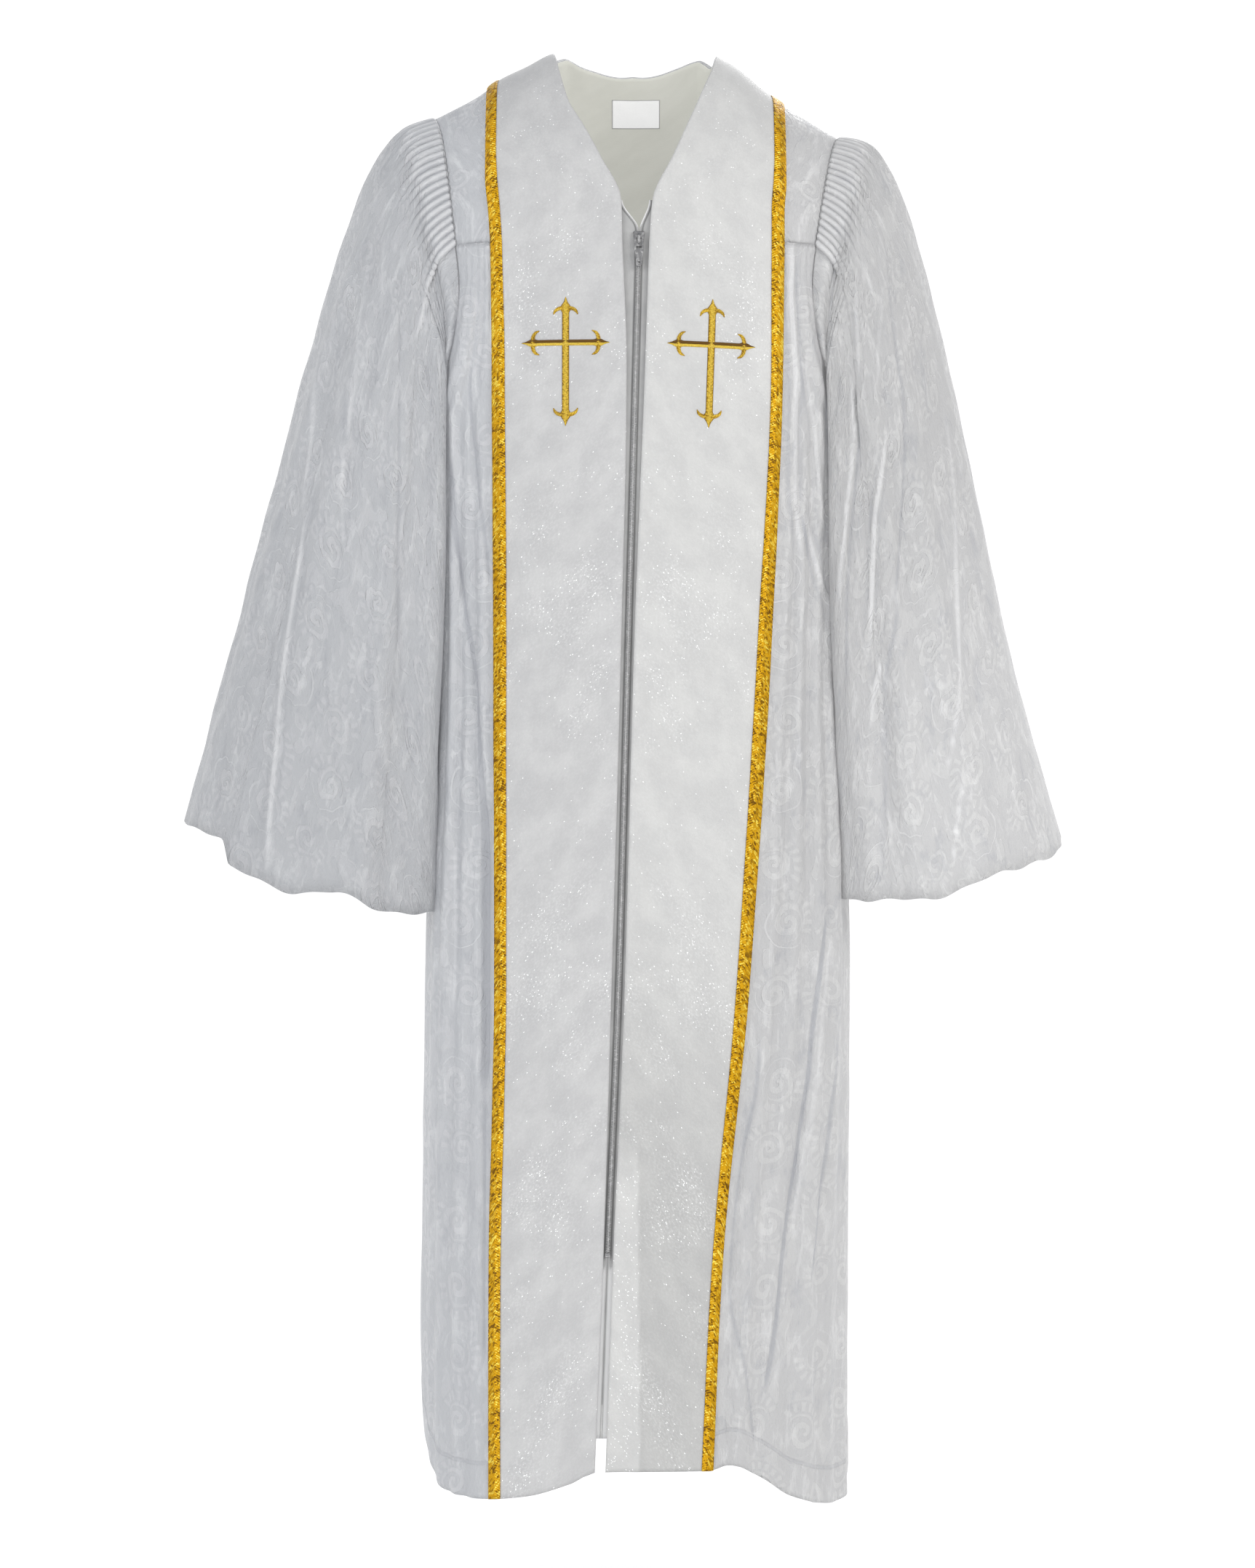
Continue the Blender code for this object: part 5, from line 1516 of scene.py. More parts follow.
@dataclass
class Sleeve:
    """A bell sleeve, fluted at its head and falling in long folds to the cuff."""

    side: Side
    wardrobe: Wardrobe
    cuff_outer: float
    cuff_inner: float
    bell: float
    flutes: int = 21
    flute_columns: int = 7
    low_columns: int = 24
    head_rows: int = 44
    arm_rows: int = 68
    head_end: float = 0.36
    flute_rise: float = 2.9 * MM
    flute_end: Span = (0.32, 0.16)
    flute_start: Span = (0.0, 0.018)
    softness: float = 0.5
    fold_steps: Span = (0.30, 0.75)
    swell: float = 1.6 * MM
    wave: float = 140 * MM
    swell_steps: Span = (0.2, 0.5)
    crease_top: Span = (0.0, 0.12)
    crease_cuff: Span = (1.016, 0.976)
    crease_edge: float = 0.04
    rear_shift: float = 9 * MM
    rear_share: float = 0.8
    tuck: float = 8 * MM
    tuck_turns: Span = (0.62, 0.96)
    tuck_steps: Span = (0.12, 0.47)
    tuck_clear: float = 4.2 * MM
    meet: float = 0.955
    lean_turn: float = 0.58
    meet_turn: float = 0.90
    meet_clear: float = 2.6 * MM
    round_turn: float = 0.15
    hold_start: Span = (0.06, 0.28)
    hold_end: Span = (0.62, 0.96)
    still_turns: Span = (0.80, 0.88)
    lap: float = 0.20
    lap_lift: float = 0.5 * MM
    cuff_depth: float = 88 * MM
    cuff_forward: float = 66 * MM
    clear: float = 4.5 * MM
    clear_front: Span = (0.78, 1.0)
    clear_back: Span = (0.42, 0.67)
    seam_push: float = -0.3 * MM
    seam_sink: float = 0.1 * MM
    seam_blend: Span = (0.5, 0.7)
    cut: Cut = Cut(0.60, 0.75, "gathered")

    def walk(self, line: Array, count: int) -> Array:
        """Evenly spaced points along a line, without its last one."""
        lengths = np.linalg.norm(np.diff(line[:, :3], axis=0), axis=1)
        travelled = np.concatenate(([0.0], np.cumsum(lengths)))
        wanted = np.linspace(0.0, travelled[-1], count + 1)[:-1]
        return np.stack([np.interp(wanted, travelled, values) for values in line.T], axis=1)

    def lapped(self, rows: Array, columns: int, lift: float) -> Array:
        """A line down the body's front that leaves the side seam and comes back to it.

        Args:
            rows: The body's grid down to the underarm, points and then normals.
            columns: How many of its columns lie beside the panel.
            lift: How far the line lies over the body.

        Returns:
            The line's points and normals.
        """
        shares = np.linspace(0, 1, columns)[1:]
        way = np.sin(math.pi * np.linspace(0, 1, len(rows)))
        line = np.empty((len(rows), rows.shape[2]))
        for row, wanted in enumerate(1 - self.lap * way):
            line[row] = [np.interp(wanted, shares, values) for values in rows[row, 1 - columns:].T]
        line[:, :3] += line[:, 3:] * lift * np.minimum(way * 4, 1)[:, None]
        return line

    def ring(self, front: Front, back: Back) -> tuple[Array, Array, Array, Array, Array]:
        """The armhole seam.

        Args:
            front: The front half that the sleeve is set into.
            back: The back.

        Returns:
            Points, seam normals, places, faces and flute phases round the seam.
        """
        yoke, yoke_normals = front.yoke_grid()
        body, body_normals, _ = front.body_grid()
        rear_yoke, rear_yoke_normals = back.yoke_points(np.array([0.0, 0.5, 1.0]))
        rear, rear_normals, _ = back.body_grid()
        low = int(np.searchsorted(-front.levels, -UNDERARM_LEVEL)) + 1
        back_levels = np.linspace(YOKE_LEVEL, HEM_LEVEL, back.body_rows)
        back_low = int(np.searchsorted(-back_levels, -UNDERARM_LEVEL)) + 1
        rows = np.concatenate((body[:low], body_normals[:low]), axis=2)
        lap = self.lapped(rows, front.body_columns, self.lap_lift)
        end = -1 if self.side is Side.RIGHT else 0
        corner = back.round_columns * CORNER_COLUMNS // NECK_COLUMNS
        round_the_corner = slice(-corner - 1, None) if self.side is Side.RIGHT else slice(corner, None, -1)
        upper = self.flutes * self.flute_columns
        seam_up = rear[:back_low, end][::-1], rear_normals[:back_low, end][::-1]
        over = rear_yoke[-1, round_the_corner], rear_yoke_normals[-1, round_the_corner]
        stretches = (
            (yoke[:, -1], yoke_normals[:, -1], upper, 0.0, 0.5, Face.FRONT),
            (lap[:, :3], lap[:, 3:], self.low_columns, 0.5, 1.0, Face.FRONT),
            (*seam_up, self.low_columns, 1.0, 0.5, Face.BACK),
            (*over, upper, 0.5, 0.0, Face.BACK),
        )
        lines, places, faces, phases = [], [], [], []
        for line, normals, count, start, stop, face in stretches:
            lines.append(self.walk(np.concatenate((line, normals), axis=1), count))
            places.append(start + (stop - start) * np.arange(count) / count)
            faces.append(np.full(count, face.value))
            phases.append(np.arange(count) / self.flute_columns if count == upper else np.zeros(count))
        found = [np.concatenate(parts) for parts in (lines, places, faces, phases)]
        seam, places, faces, phases = (np.concatenate((part, part[:1])) for part in found)
        return seam[:, :3], seam[:, 3:], places, faces, phases

    def cuff(self, turn: Array, face: Array) -> Array:
        """Points of the cuff's hem by the turn from its outer tip."""
        word = self.side.word
        middle, half = (self.cuff_outer + self.cuff_inner) / 2, (self.cuff_outer - self.cuff_inner) / 2
        x = middle + half * np.cos(math.pi * turn)
        y = face * self.cuff_depth * np.sin(math.pi * turn) - self.cuff_forward * turn
        front, back = (CUFF.read(word + name, turn) * MM for name in ("_front", "_back"))
        scallop = (np.sin(52 * turn + self.side.value) + 0.8 * np.sin(23 * turn)) * MM
        return np.stack((x, y, np.where(face < 0, front, back) + scallop), axis=-1)

    def folds(self, turn: Array, face: Array, step: Array) -> Array:
        """Height of the long folds, which grow from the flutes to the cuff."""
        rise = np.zeros(np.broadcast_shapes(turn.shape, step.shape))
        for place, ahead, behind, width in SLEEVE_FOLDS:
            lean = 0.030 * np.sin(5.0 * step + 37 * place + self.side.value)
            away = np.minimum(np.abs(turn - place - lean) / (1.15 * width), 1)
            height = 1 + 0.45 * np.sin(6.0 * step + 23 * place)
            rise = rise + np.where(face < 0, ahead, behind) * MM * height * np.cos(away * math.pi / 2) ** 2
        return self.softness * rise * ease(step, *self.fold_steps)

    def draped(
        self, points: Array, body: Array, turn: Array, face: Array, step: Array
    ) -> tuple[Array, Array]:
        """Lays the sleeve's inner front against the body, as soft cloth hangs.

        Args:
            points: The sleeve's grid.
            body: The grid of the body's front beside the panel.
            turn: Turn of each column from the sleeve's outer line.
            face: Which face each column is on.
            step: Share of the way down of each row.

        Returns:
            The laid points, and how far each of them is held to the body.
        """
        hand = self.side.value
        column = int(np.argmin(np.abs(turn - self.meet_turn) + 9.0 * (face > 0)))
        tip = int(np.argmax(turn))
        level = points[:, column, 2]
        last = len(body) - 1
        rows = np.clip((YOKE_LEVEL - level) / (YOKE_LEVEL - HEM_LEVEL) * last, 0, last).astype(int)
        reach = self.meet * FORM.half_width(hand + 0 * level, level)
        found = [np.interp(out, hand * body[row, :, 0], body[row, :, 1]) for out, row in zip(reach, rows)]
        meet = np.stack((hand * reach, np.array(found) - self.meet_clear), axis=1)
        laid = points.copy()
        near = ease(turn, self.lean_turn, self.meet_turn)[None, :, None]
        laid[..., :2] += (meet - points[:, column, :2])[:, None] * near
        after = np.clip((turn - self.meet_turn) / (1 - self.meet_turn), 0, 1)[None, :]
        y = meet[:, 1:] + (points[:, tip, 1:2] - meet[:, 1:]) * after
        flank = [
            np.interp(deep, np.maximum.accumulate(body[row, :, 1]), hand * body[row, :, 0])
            for deep, row in zip(y, rows)
        ]
        ring = np.maximum(FORM.width_at(y, points[..., 2], self.side), np.array(flank))
        ring = hand * (ring + self.tuck_clear)
        x = ring + (points[:, tip, :1] - ring) * after ** 3
        past = ease(after, 0.0, self.round_turn)
        laid[..., 0] += (x - laid[..., 0]) * past
        laid[..., 1] += (y - laid[..., 1]) * past
        hold = ease(step, *self.hold_start) * (1 - ease(step, *self.hold_end)) * (face < 0)
        return points + (laid - points) * hold[..., None], hold * ease(turn, *self.still_turns)

    def grid(self, front: Front, back: Back) -> tuple[Array, Array, Array]:
        """Points, normals and relief: a row for each step from the armhole to the cuff."""
        start, seam_normals, place, face, phase = self.ring(front, back)
        word, hand = self.side.word, self.side.value
        names = (word + "_out", "apart", "ahead", word + "_down", "turn")
        out, apart, ahead, down, turn = (SLEEVE_LINES.read(name, place) for name in names)
        lead = np.stack((hand * out, face * apart - ahead, -down), axis=1) * MM
        clear = np.where(face < 0, ease(place, *self.clear_front), ease(place, *self.clear_back))
        start = start + lead / np.linalg.norm(lead, axis=1, keepdims=True) * self.seam_push
        start = start - seam_normals * self.seam_sink
        start = start + np.stack((hand * self.clear * clear, 0 * clear, 0 * clear), axis=1)
        head = np.linspace(0, self.head_end, self.head_rows)
        step = np.concatenate((head, np.linspace(self.head_end, 1, self.arm_rows + 1)[1:]))[:, None]
        rest = 1 - step
        narrow = -hand * self.bell * (1 - turn) * step ** 8 * rest
        step3, rest3 = step[..., None], rest[..., None]
        points = rest3 ** 3 * start + 3 * step3 * rest3 * (start + lead) + step3 ** 3 * self.cuff(turn, face)
        points[..., 0] += narrow
        ring = FORM.width_at(points[..., 1], points[..., 2], self.side)
        room = hand * points[..., 0] - ring - self.tuck_clear
        inward = np.clip(room, 0, self.tuck) * ease(turn, *self.tuck_turns) * ease(step, *self.tuck_steps)
        points[..., 0] -= hand * inward
        beside = front.body_grid()[0][:, front.zone.shape[1]:]
        points, held = self.draped(points, beside, turn, face, step)
        inside = points.mean(axis=1, keepdims=True)
        plain = grid_normals(points, inside, wrap=True)
        rise = self.folds(turn[None, :], face, step) * (1 - held)
        x, z = points[..., 0], points[..., 2]
        shift = np.where(face < 0, 0.0, hand * self.rear_shift)
        share = np.where(face < 0, 1.0, self.rear_share)
        settled = ease(step, *self.crease_top) * ease(step, *self.crease_cuff)
        edge = ease(turn, 0, self.crease_edge) * ease(turn, 1, 1 - self.crease_edge)
        creases = sum(crease.height(x + shift, z) for crease in SLEEVE_CREASES[self.side])
        creases = creases * share * settled * edge * (1 - held)
        swell = self.swell * ripple(points, self.wave, 11.0 + hand) * ease(step, *self.swell_steps)
        rise = rise + creases + swell * (1 - held)
        number = np.floor(phase)
        longer = 1 + 0.16 * np.sin(2.4 * number + hand) + 0.08 * np.sin(5.1 * number)
        fade = ease(step / longer, *self.flute_end)
        flute = np.abs(np.sin(math.pi * (phase % 1.0))) ** 0.8 * (place < 0.5)
        height = 1 + 0.12 * np.sin(3.7 * number + 2 * hand)
        fade = fade * (0.25 + 0.75 * ease(step, *self.flute_start))
        rise = rise + self.flute_rise * flute * fade * height
        points = points + plain * rise[..., None]
        normals = grid_normals(points, inside, wrap=True)
        own = ease(place, *self.seam_blend)[:, None]
        mixed = normals[0] * own + seam_normals * (1 - own)
        normals[0] = mixed / np.linalg.norm(mixed, axis=1, keepdims=True)
        # The flutes' ridges and grooves go into the painted highlight and shade too
        return points, normals, creases + 0.55 * self.flute_rise * (flute - 0.6) * fade

    def build(self, front: Front, back: Back) -> None:
        """Builds and dresses the sleeve.

        Args:
            front: The front half that it is set into.
            back: The back.
        """
        word = self.side.word
        points, normals, rise = self.grid(front, back)
        skin = points + normals * CLOTH
        crest = crest_mask(rise, measure(points)[0])
        # Painted highlight along the armhole seam: its first two rows count as ridges
        crest[:2] = np.maximum(crest[:2], 0.8)
        crest[:, -1] = crest[:, 0]
        sheet = Sheet("cloth_sleeve_" + word, skin, normals, CLOTH, wrap=True, crest=crest)
        cloth = self.wardrobe.sleeves[self.side]
        sewn_to = ("cloth_yoke_" + word, "cloth_front_" + word)
        sheet.lay(cloth, "brocade", "sleeve_" + word, self.cut, *sewn_to)


@dataclass
class Cross:
    """An embroidered cross with a spear and two curled horns at the end of each arm."""

    side: Side
    wardrobe: Wardrobe
    centre: Span
    tilt: float
    up: float = 43 * MM
    down: float = 78 * MM
    across: float = 41 * MM
    upright: float = 3.35 * MM
    beam: float = 2.8 * MM
    rise: float = 1.1 * MM
    columns: int = 9
    wall: float = 0.3 * MM
    clear: float = 0.15 * MM
    layer: float = 0.03 * MM
    neck: float = 15.0
    point: float = 0.3
    beam_spear: Rows = ((12.0, 1.3), (9.0, 1.25), (4.0, 0.5))
    spear: Rows = ((12.0, 4.6), (9.0, 4.5), (4.5, 1.9))
    horn: Rows = ((10.3, 0.0, 2.3), (10.4, 4.0, 2.0), (11.2, 7.2, 1.7), (13.2, 9.8, 1.35), (16.4, 11.4, 0.4))

    def strips(self) -> list[tuple[float, float, Rows]]:
        """The parts of the motif.

        Returns:
            For each part its turn in degrees, its tone of painted light and shade, and rows of along, across
            and half width in mm.
        """
        found = []
        beam, upright, reach = self.beam / MM, self.upright / MM, self.across / MM
        for turn, hand in ((90.0, -1), (270.0, 1)):
            # Each beam in two halves: the lower one painted light, the upper one painted shade
            for low, high, tone in ((-1.0, 0.05, 1.0), (0.0, 1.0, -1.0)):
                middle, half = hand * beam * (low + high) / 2, beam * (high - low) / 2
                rows = [(far, middle, half) for far in (0.0, 10.0, 20.0, reach - self.neck)]
                rows += [(reach - far, middle * more, half * more) for far, more in self.beam_spear]
                found.append((turn, tone, (*rows, (reach, 0.0, self.point))))
        for turn, reach in ((0.0, self.up / MM), (180.0, self.down / MM)):
            rows = [(far, 0.0, upright) for far in (0.0, reach * 0.3, reach * 0.6, reach - self.neck)]
            rows += [(reach - far, 0.0, half) for far, half in self.spear]
            found.append((turn, 0.0, (*rows, (reach, 0.0, self.point))))
        for turn, reach in ((0.0, self.up), (180.0, self.down), (90.0, self.across), (270.0, self.across)):
            for hand in (-1, 1):
                curl = tuple((reach / MM - far, hand * out, half) for far, out, half in self.horn)
                # The horns: one of each pair painted a little darker, the other a little lighter
                found.append((turn, -0.35 if hand > 0 else 0.2, curl))
        return found

    def strip(self, turn: float, rows: Rows) -> tuple[Array, Array, Array]:
        """One part as a grid.

        Args:
            turn: Its arm's turn in degrees.
            rows: Its middle line and half widths, along the arm.

        Returns:
            Places in X and Z, the height of the dome, and places across and along it.
        """
        line = np.array(rows) * MM
        steps = np.linalg.norm(np.diff(line[:, :2], axis=0), axis=1)
        travelled = np.concatenate(([0.0], np.cumsum(steps)))
        wanted = np.linspace(0, travelled[-1], max(9, int(travelled[-1] / (0.9 * MM))))
        curve = Table("far along across half", tuple(map(tuple, np.column_stack((travelled, line)))))
        along, across, wide = (curve.read(name, wanted) for name in ("along", "across", "half"))
        ahead = np.stack((np.gradient(along), np.gradient(across)), axis=1)
        ahead /= np.linalg.norm(ahead, axis=1, keepdims=True)
        share = np.linspace(-1, 1, self.columns)
        a = along[:, None] - ahead[:, 1:] * wide[:, None] * share
        b = across[:, None] + ahead[:, :1] * wide[:, None] * share
        dome = np.sqrt(np.maximum(1 - share ** 2, 0)) * (0.35 + 0.65 * wide[:, None] / line[:, 2].max())
        angle = math.radians(turn + self.tilt)
        x = self.centre[0] + a * math.sin(angle) + b * math.cos(angle)
        z = self.centre[1] + a * math.cos(angle) - b * math.sin(angle)
        cloth = np.stack((wide[:, None] * share, wanted[:, None] + 0 * share), axis=-1)
        return np.stack((x, z), axis=-1), dome, cloth

    def build(self, ground: BVHTree) -> None:
        """Builds the embroidery on the panel.

        Args:
            ground: The panel's outer surface.
        """
        bm = bmesh.new()
        place = bm.loops.layers.uv.new("cloth")
        shade = bm.verts.layers.float.new("crest")
        for number, (turn, tone, rows) in enumerate(self.strips()):
            flat, dome, cloth = self.strip(turn, rows)
            steps, columns = dome.shape
            made = bmesh.ops.create_grid(bm, x_segments=columns - 1, y_segments=steps - 1, size=0.5)
            for vert in made["verts"]:
                spot = (round((vert.co.y + 0.5) * (steps - 1)), round((vert.co.x + 0.5) * (columns - 1)))
                aim = Vector((flat[spot][0], -1.0, flat[spot][1]))
                hit, out, _, _ = ground.ray_cast(aim, Vector((0, 1, 0)))
                out = out if out.y < 0 else -out
                vert.co = hit + out * (self.clear + (self.rise + self.layer * (number % 5)) * dome[spot])
                # Painted light and shade: each part's tone, or on the uprights a lighter middle and darker
                # edges
                vert[shade] = tone if tone else 0.65 - 1.6 * abs(2 * spot[1] / (columns - 1) - 1) ** 2.5
                for loop in vert.link_loops:
                    loop[place].uv = cloth[spot]
        bmesh.ops.recalc_face_normals(bm, faces=bm.faces[:])
        if sum(face.normal.y for face in bm.faces) > 0:
            bmesh.ops.reverse_faces(bm, faces=bm.faces[:])
        for face in bm.faces:
            if face.normal.y > 0:
                face.normal_flip()
        mesh = bpy.data.meshes.new("stitched_cross_" + self.side.word)
        bm.to_mesh(mesh)
        bm.free()
        mesh.shade_smooth()
        mesh.materials.append(self.wardrobe.thread)
        piece = place_object(mesh.name, mesh)
        wall = piece.modifiers.new("thread", "SOLIDIFY")
        wall.thickness = self.wall
        wall.offset = -1.0
        settle(piece, "gold_thread", "cross_" + self.side.word)


@dataclass
class Label:
    """A bare white satin label sewn to the lining at the back of the neck."""

    wardrobe: Wardrobe
    width: float = 47 * MM
    height: float = 26.5 * MM
    x: float = 3 * MM
    z: float = -22.5 * MM
    stand: float = 0.75 * MM
    wall: float = 0.4 * MM
    seam_inset: float = 1.4 * MM
    seam_width: float = 0.5 * MM
    seam_depth: float = 0.2 * MM
    # Width of the painted shadow along the label's edges
    edge_shadow: float = 0.8 * MM
    columns: int = 40
    rows: int = 24

    def build(self, ground: BVHTree) -> None:
        """Builds the label on the lining.

        Args:
            ground: The lining's inner surface.
        """
        across = np.linspace(-0.5, 0.5, self.columns)
        up = np.linspace(0.5, -0.5, self.rows)
        points = np.empty((self.rows, self.columns, 3))
        edge_shadow = np.zeros((self.rows, self.columns))
        for row, column in np.ndindex(edge_shadow.shape):
            x = self.x + across[column] * self.width
            z = self.z + up[row] * self.height
            hit = ground.ray_cast(Vector((x, -1.0, z)), Vector((0, 1, 0)))[0]
            rim = min((0.5 - abs(across[column])) * self.width, (0.5 - abs(up[row])) * self.height)
            sewn = self.seam_depth * hump(rim, self.seam_inset, self.seam_width)
            points[row, column] = hit + Vector((0, -1, 0)) * (self.stand - sewn)
            # Painted shadow: the label darker along its edges
            edge_shadow[row, column] = -hump(rim, 0.0, self.edge_shadow)
        normals = np.broadcast_to(np.array((0.0, -1.0, 0.0)), points.shape)
        sheet = Sheet("neck_label", points, normals, self.wall, crest=edge_shadow)
        cut = Cut(self.width, self.height + 0.2 * MM, "laid")
        sheet.lay(self.wardrobe.label, "label_satin", "label", cut, "lining_back_yoke")


@dataclass
class Zip:
    """The zip: two tapes, a chain of teeth, and the slider, pull and stop."""

    wardrobe: Wardrobe
    tape_top: float = -134 * MM
    tape_meet: float = -163 * MM
    tape_end: float = -1286 * MM
    chain_top: float = -182 * MM
    chain_end: float = -1115 * MM
    underlap: float = 8 * MM
    sink: float = 0.8 * MM
    tape: float = 1.0 * MM
    pitch: float = 1.5 * MM
    groove_place: float = 2.9 * MM
    groove_width: float = 1.0 * MM
    half_gap: float = 0.15 * MM
    fold_rows: int = 12
    tape_rows: int = 190
    tape_columns: int = 17
    tooth: Spot = (2.9 * MM, 1.3 * MM, 0.95 * MM)
    tooth_edge: float = 0.22 * MM
    tooth_off: float = 0.72 * MM
    tooth_ahead: float = 0.3 * MM
    tape_cut: Cut = Cut(0.013, 1.17, "hung")

    def surface(self, x: Array, z: Array) -> Array:
        """Points of the front's surface at each level, above the yoke seam too."""
        x, z = np.broadcast_arrays(np.asarray(x, dtype=float), np.asarray(z, dtype=float))
        out = np.abs(x) / MM
        top = np.where(x >= 0, RIDGE.read("right", out), RIDGE.read("left", out)) * MM
        turn = np.arcsin(np.clip((z - YOKE_LEVEL) / (top - YOKE_LEVEL), 0, 1)) / (math.pi / 2)
        above = FORM.yoke(x, turn, Face.FRONT)
        below = np.stack((x, FORM.depth(x, np.minimum(z, YOKE_LEVEL), Face.FRONT), z), axis=-1)
        return np.where((z > YOKE_LEVEL)[..., None], above, below)

    def build_tape(self, side: Side) -> None:
        """Builds one tape, its top end folded away behind the front edge."""
        upper = np.linspace(self.tape_top, self.tape_meet, self.fold_rows)
        lower = np.linspace(self.tape_meet, self.tape_end, self.tape_rows)[1:]
        z = np.concatenate((upper, lower))[:, None]
        edge = BODY_EDGES.read(side.word + "_edge", z / MM) * MM
        middle = ZIP.read("middle", z / MM) * MM + side.value * self.half_gap
        middle = middle + (edge - middle) * ease(z, self.tape_meet, self.tape_top)
        hidden = edge + side.value * self.underlap
        share = np.linspace(0, 1, self.tape_columns)[None, :]
        points = self.surface(middle + (hidden - middle) * share, z)
        normals = grid_normals(points)
        out = measure(points)[0]
        # Painted light and shade through the crest mask: shade in lines beside the teeth, the tape lighter
        # below the chain except at its meeting edge, and a painted highlight along the folded top edges
        selvage = hump(out, 0.0, self.groove_width)
        below = ease(z, self.chain_end, self.chain_end - 20 * MM)
        groove = (0.75 - selvage) * below - hump(out, self.groove_place, self.groove_width) * (1 - below)
        folded = selvage * ease(z, self.tape_meet, self.tape_meet + 8 * MM)
        groove = np.clip(groove + 1.6 * folded, -1, 1)
        skin = points - normals * self.sink
        sheet = Sheet("tape_" + side.word, skin, normals, self.tape, crest=groove)
        beside = "cloth_front_" + side.word
        sheet.lay(self.wardrobe.tape, "zip_tape", "zip_tape_" + side.word, self.tape_cut, beside)

    def build_chain(self) -> None:
        """Builds the meshed teeth, one small bevelled block repeated down both tapes."""
        levels = np.arange(self.chain_top - 0.7 * MM, self.chain_end + 0.5 * MM, -self.pitch / 2)
        middle = ZIP.read("middle", levels / MM) * MM
        spots = self.surface(middle, levels)
        bm = bmesh.new()
        first = bmesh.ops.create_cube(bm, size=1.0)["verts"]
        bmesh.ops.scale(bm, vec=self.tooth, verts=first)
        bmesh.ops.bevel(
            bm, geom=bm.edges[:], offset=self.tooth_edge, segments=1, profile=0.5, affect="EDGES", material=-1
        )
        corners = len(bm.verts)
        mould = bm.verts[:] + bm.edges[:] + bm.faces[:]
        for number, spot in enumerate(spots):
            made = bmesh.ops.duplicate(bm, geom=mould)["geom"]
            verts = [item for item in made if isinstance(item, bmesh.types.BMVert)]
            off = self.tooth_off if number % 2 else -self.tooth_off
            bmesh.ops.translate(bm, verts=verts, vec=(spot[0] + off, spot[1] - self.tooth_ahead, spot[2]))
        bmesh.ops.delete(bm, geom=mould[:corners], context="VERTS")
        piece = plain_mesh("zip_teeth", bm, self.wardrobe.teeth)
        settle(piece, "zip_metal", "zip_chain")

    def build(self) -> None:
        """Builds tapes and chain, and gives the hard parts their finish."""
        for side in Side:
            self.build_tape(side)
        self.build_chain()
        for name in ("zip_slider", "zip_pull", "zip_stop"):
            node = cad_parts[name]
            for place in node.material_slots:
                place.material = self.wardrobe.metal
            LOG.info("%s: packed solid, plated", name)


@dataclass(frozen=True)
class SoftLight:
    """A soft square light that points at a level on the robe's middle."""

    name: str
    place: Spot
    level: float
    size: float
    power: float
    colour: Colour = grey(1.0)

    def build(self) -> None:
        """Adds the light."""
        data = bpy.data.lights.new(self.name, "AREA")
        data.shape = "SQUARE"
        data.size = self.size
        data.energy = self.power
        data.color = self.colour
        light = place_object(self.name, data)
        light.location = self.place
        aim = Vector((0.0, 0.0, self.level)) - Vector(self.place)
        light.rotation_euler = aim.to_track_quat("-Z", "Y").to_euler()


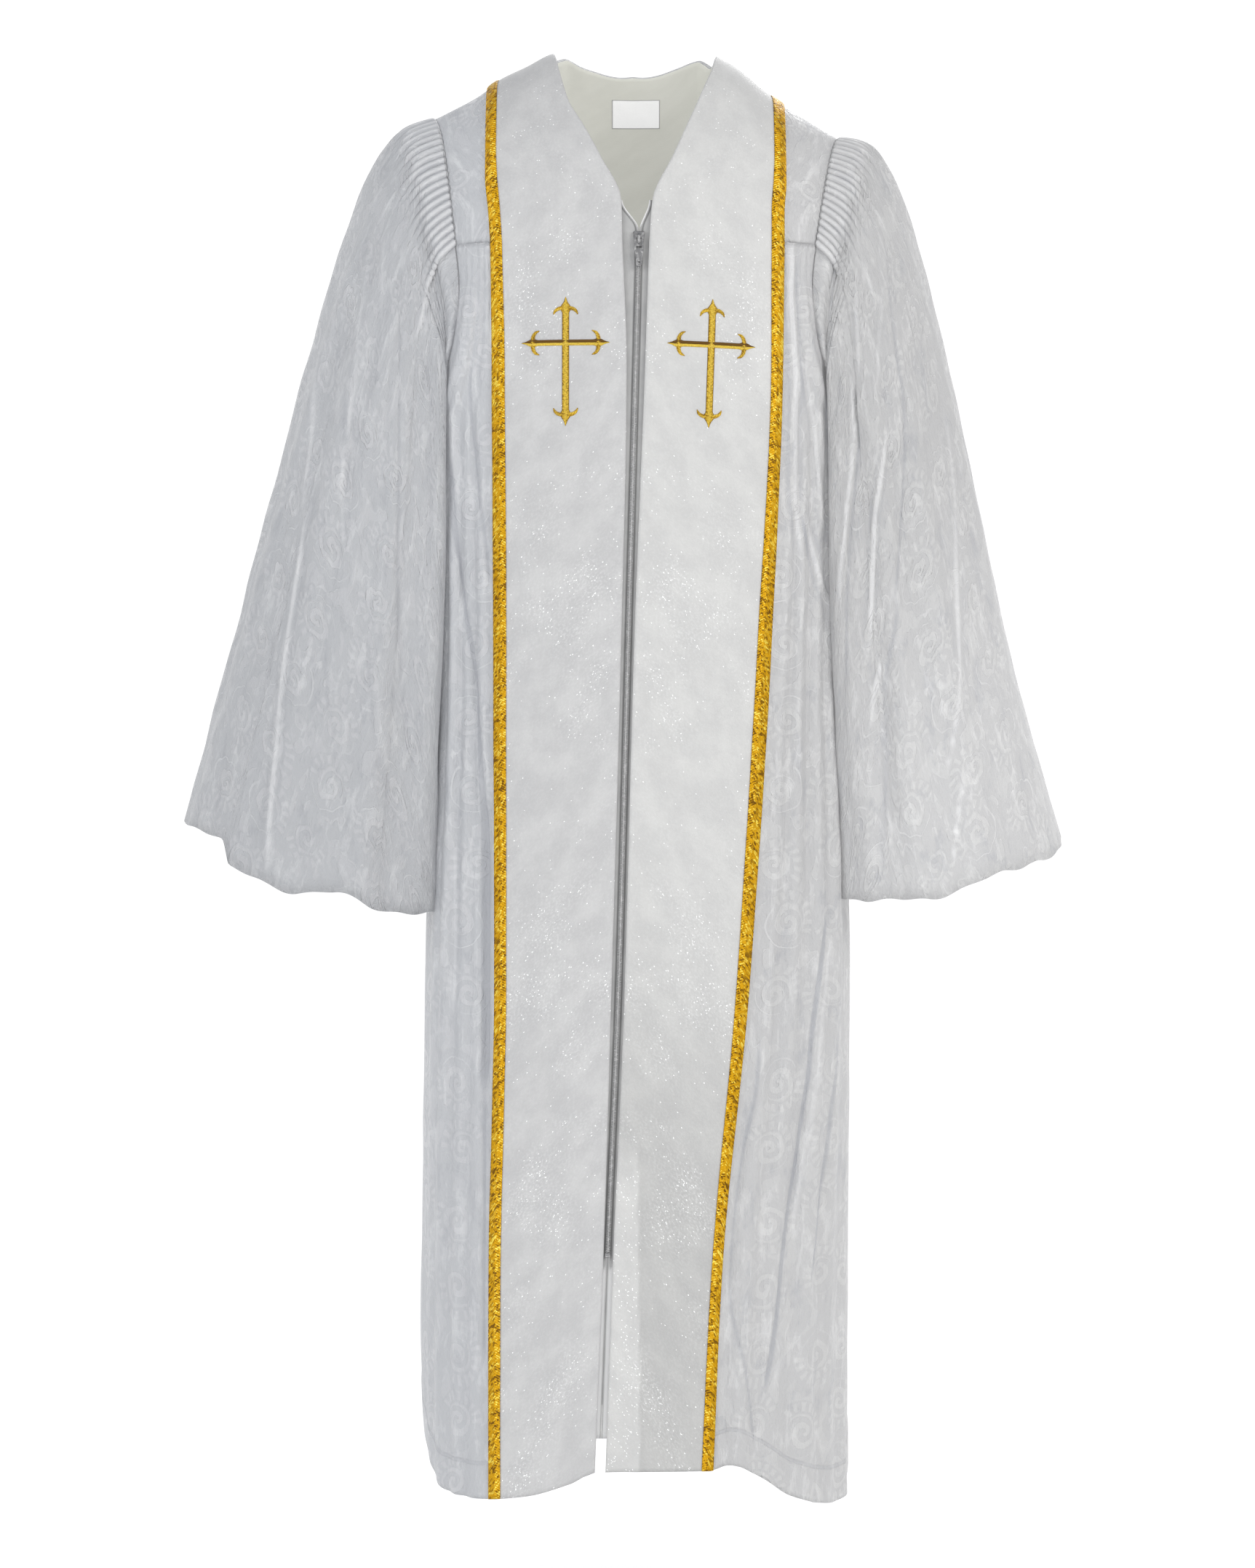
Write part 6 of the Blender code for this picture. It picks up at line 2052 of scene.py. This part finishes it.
@dataclass
class Studio:
    """A plain pale floor, soft light and the camera."""

    camera_place: Spot = (-0.00525, -4.0, -0.681)
    frame_height: float = 1.5092
    sensor: float = 36.0
    floor_level: float = -1.47
    middle: float = 0.02
    bowl: float = 7.5
    bend: float = 1.6
    rim: float = 12.0
    air: Colour = (0.93, 0.95, 1.0)
    air_strength: float = 0.42
    lights: tuple[SoftLight, ...] = (
        SoftLight("key", (3.2, -3.1, 1.6), -0.45, 2.2, 74.0, (1.0, 0.985, 0.965)),
        SoftLight("fill", (-3.1, -3.0, 1.1), -0.45, 2.4, 46.0, (0.95, 0.975, 1.0)),
        SoftLight("front", (0.2, -4.6, -0.2), -0.45, 1.2, 24.0),
        SoftLight("rear", (0.6, 3.0, 1.8), -0.65, 2.0, 36.0),
    )

    def floor_finish(self) -> Finish:
        """Pale, a little clouded, and brighter up the rim and behind the robe."""
        desk = Desk("pale_floor", {"Specular IOR Level": 0.1, "Emission Color": (1.0, 1.0, 1.0, 1.0)})
        place = desk.add("TexCoord").outputs["Object"]
        _, deep, level = desk.split(place)
        colour = desk.blend(desk.noise(place, 0.8, solid=True), grey(0.48), grey(0.50))
        wall = desk.step(level, self.floor_level + 0.02, self.floor_level + 0.9)
        colour = desk.blend(wall, colour, grey(0.02))
        shine = desk.ramp(desk.step(deep, -6.0, 1.0), 0.36, 0.26)
        desk.feed(desk.shader.inputs["Emission Strength"], desk.ramp(wall, 0.44, shine))
        return desk.dress(colour, 0.9, desk.relief((desk.noise(place, 60.0, solid=True), 0.2 * MM)))

    def build_floor(self) -> None:
        """Builds the floor, a wide shallow bowl whose rim is the background on every side."""
        bm = bmesh.new()
        bmesh.ops.create_grid(bm, x_segments=72, y_segments=32, size=0.5)
        for vert in bm.verts:
            angle = 2 * math.pi * (vert.co.x + 0.5)
            way = 2 * (vert.co.y + 0.5)
            rise = max(way - 1, 0.0)
            turn = min(rise * 2, 1.0) * math.pi / 2
            out = self.middle + self.bowl * min(way, 1.0) + self.bend * math.sin(turn)
            high = self.bend * (1 - math.cos(turn)) + self.rim * max(rise - 0.5, 0.0)
            vert.co = (out * math.cos(angle), out * math.sin(angle), self.floor_level + high)
        bmesh.ops.remove_doubles(bm, verts=bm.verts[:], dist=1 * MM)
        rims = [edge for edge in bm.edges if edge.is_boundary]
        inner = [edge for edge in rims if edge.verts[0].co.z < self.floor_level + self.middle]
        bmesh.ops.holes_fill(bm, edges=inner)
        floor = plain_mesh("studio_floor", bm, self.floor_finish(), 60.0)

    def build(self) -> None:
        """Builds floor, lights, surrounding light and camera."""
        self.build_floor()
        for light in self.lights:
            light.build()
        world = bpy.data.worlds.new("studio_air")
        world.use_nodes = True
        ground = world.node_tree.nodes["Background"]
        ground.inputs["Color"].default_value = (*self.air, 1.0)
        ground.inputs["Strength"].default_value = self.air_strength
        bpy.context.scene.world = world
        data = bpy.data.cameras.new("camera")
        data.sensor_width = self.sensor
        data.lens = self.sensor * -self.camera_place[1] / self.frame_height
        camera = place_object("camera", data)
        camera.location = self.camera_place
        camera.rotation_euler = (math.pi / 2, 0.0, 0.0)
        bpy.context.scene.camera = camera
        bpy.context.scene.view_settings.view_transform = "Standard"


def surface_tree(piece: Piece) -> BVHTree:
    """The outer surface of a piece before its wall, to lay other pieces on."""
    bm = bmesh.new()
    bm.from_mesh(piece.data)
    tree = BVHTree.FromBMesh(bm)
    bm.free()
    return tree


def main() -> None:
    """Builds the robe piece by piece, then the studio."""
    logging.basicConfig(level=logging.INFO, format="%(name)s: %(message)s")
    Studio().build()
    wardrobe = Wardrobe()
    back = Back(wardrobe)
    back.build()
    sleeves = {
        Side.LEFT: Sleeve(Side.LEFT, wardrobe, cuff_outer=-429 * MM, cuff_inner=-197 * MM, bell=0.02),
        Side.RIGHT: Sleeve(Side.RIGHT, wardrobe, cuff_outer=409 * MM, cuff_inner=206 * MM, bell=0.16),
    }
    crosses = {
        Side.LEFT: Cross(Side.LEFT, wardrobe, centre=(-63 * MM, -269 * MM), tilt=0.0),
        Side.RIGHT: Cross(Side.RIGHT, wardrobe, centre=(73 * MM, -271 * MM), tilt=2.0),
    }
    for side in Side:
        front = Front(side, wardrobe)
        front.build()
        sleeves[side].build(front, back)
        crosses[side].build(surface_tree(bpy.data.objects["cloth_panel_" + side.word]))
    Label(wardrobe).build(surface_tree(bpy.data.objects["lining_back_yoke"]))
    Zip(wardrobe).build()
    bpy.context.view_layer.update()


if __name__ == "__main__":
    main()
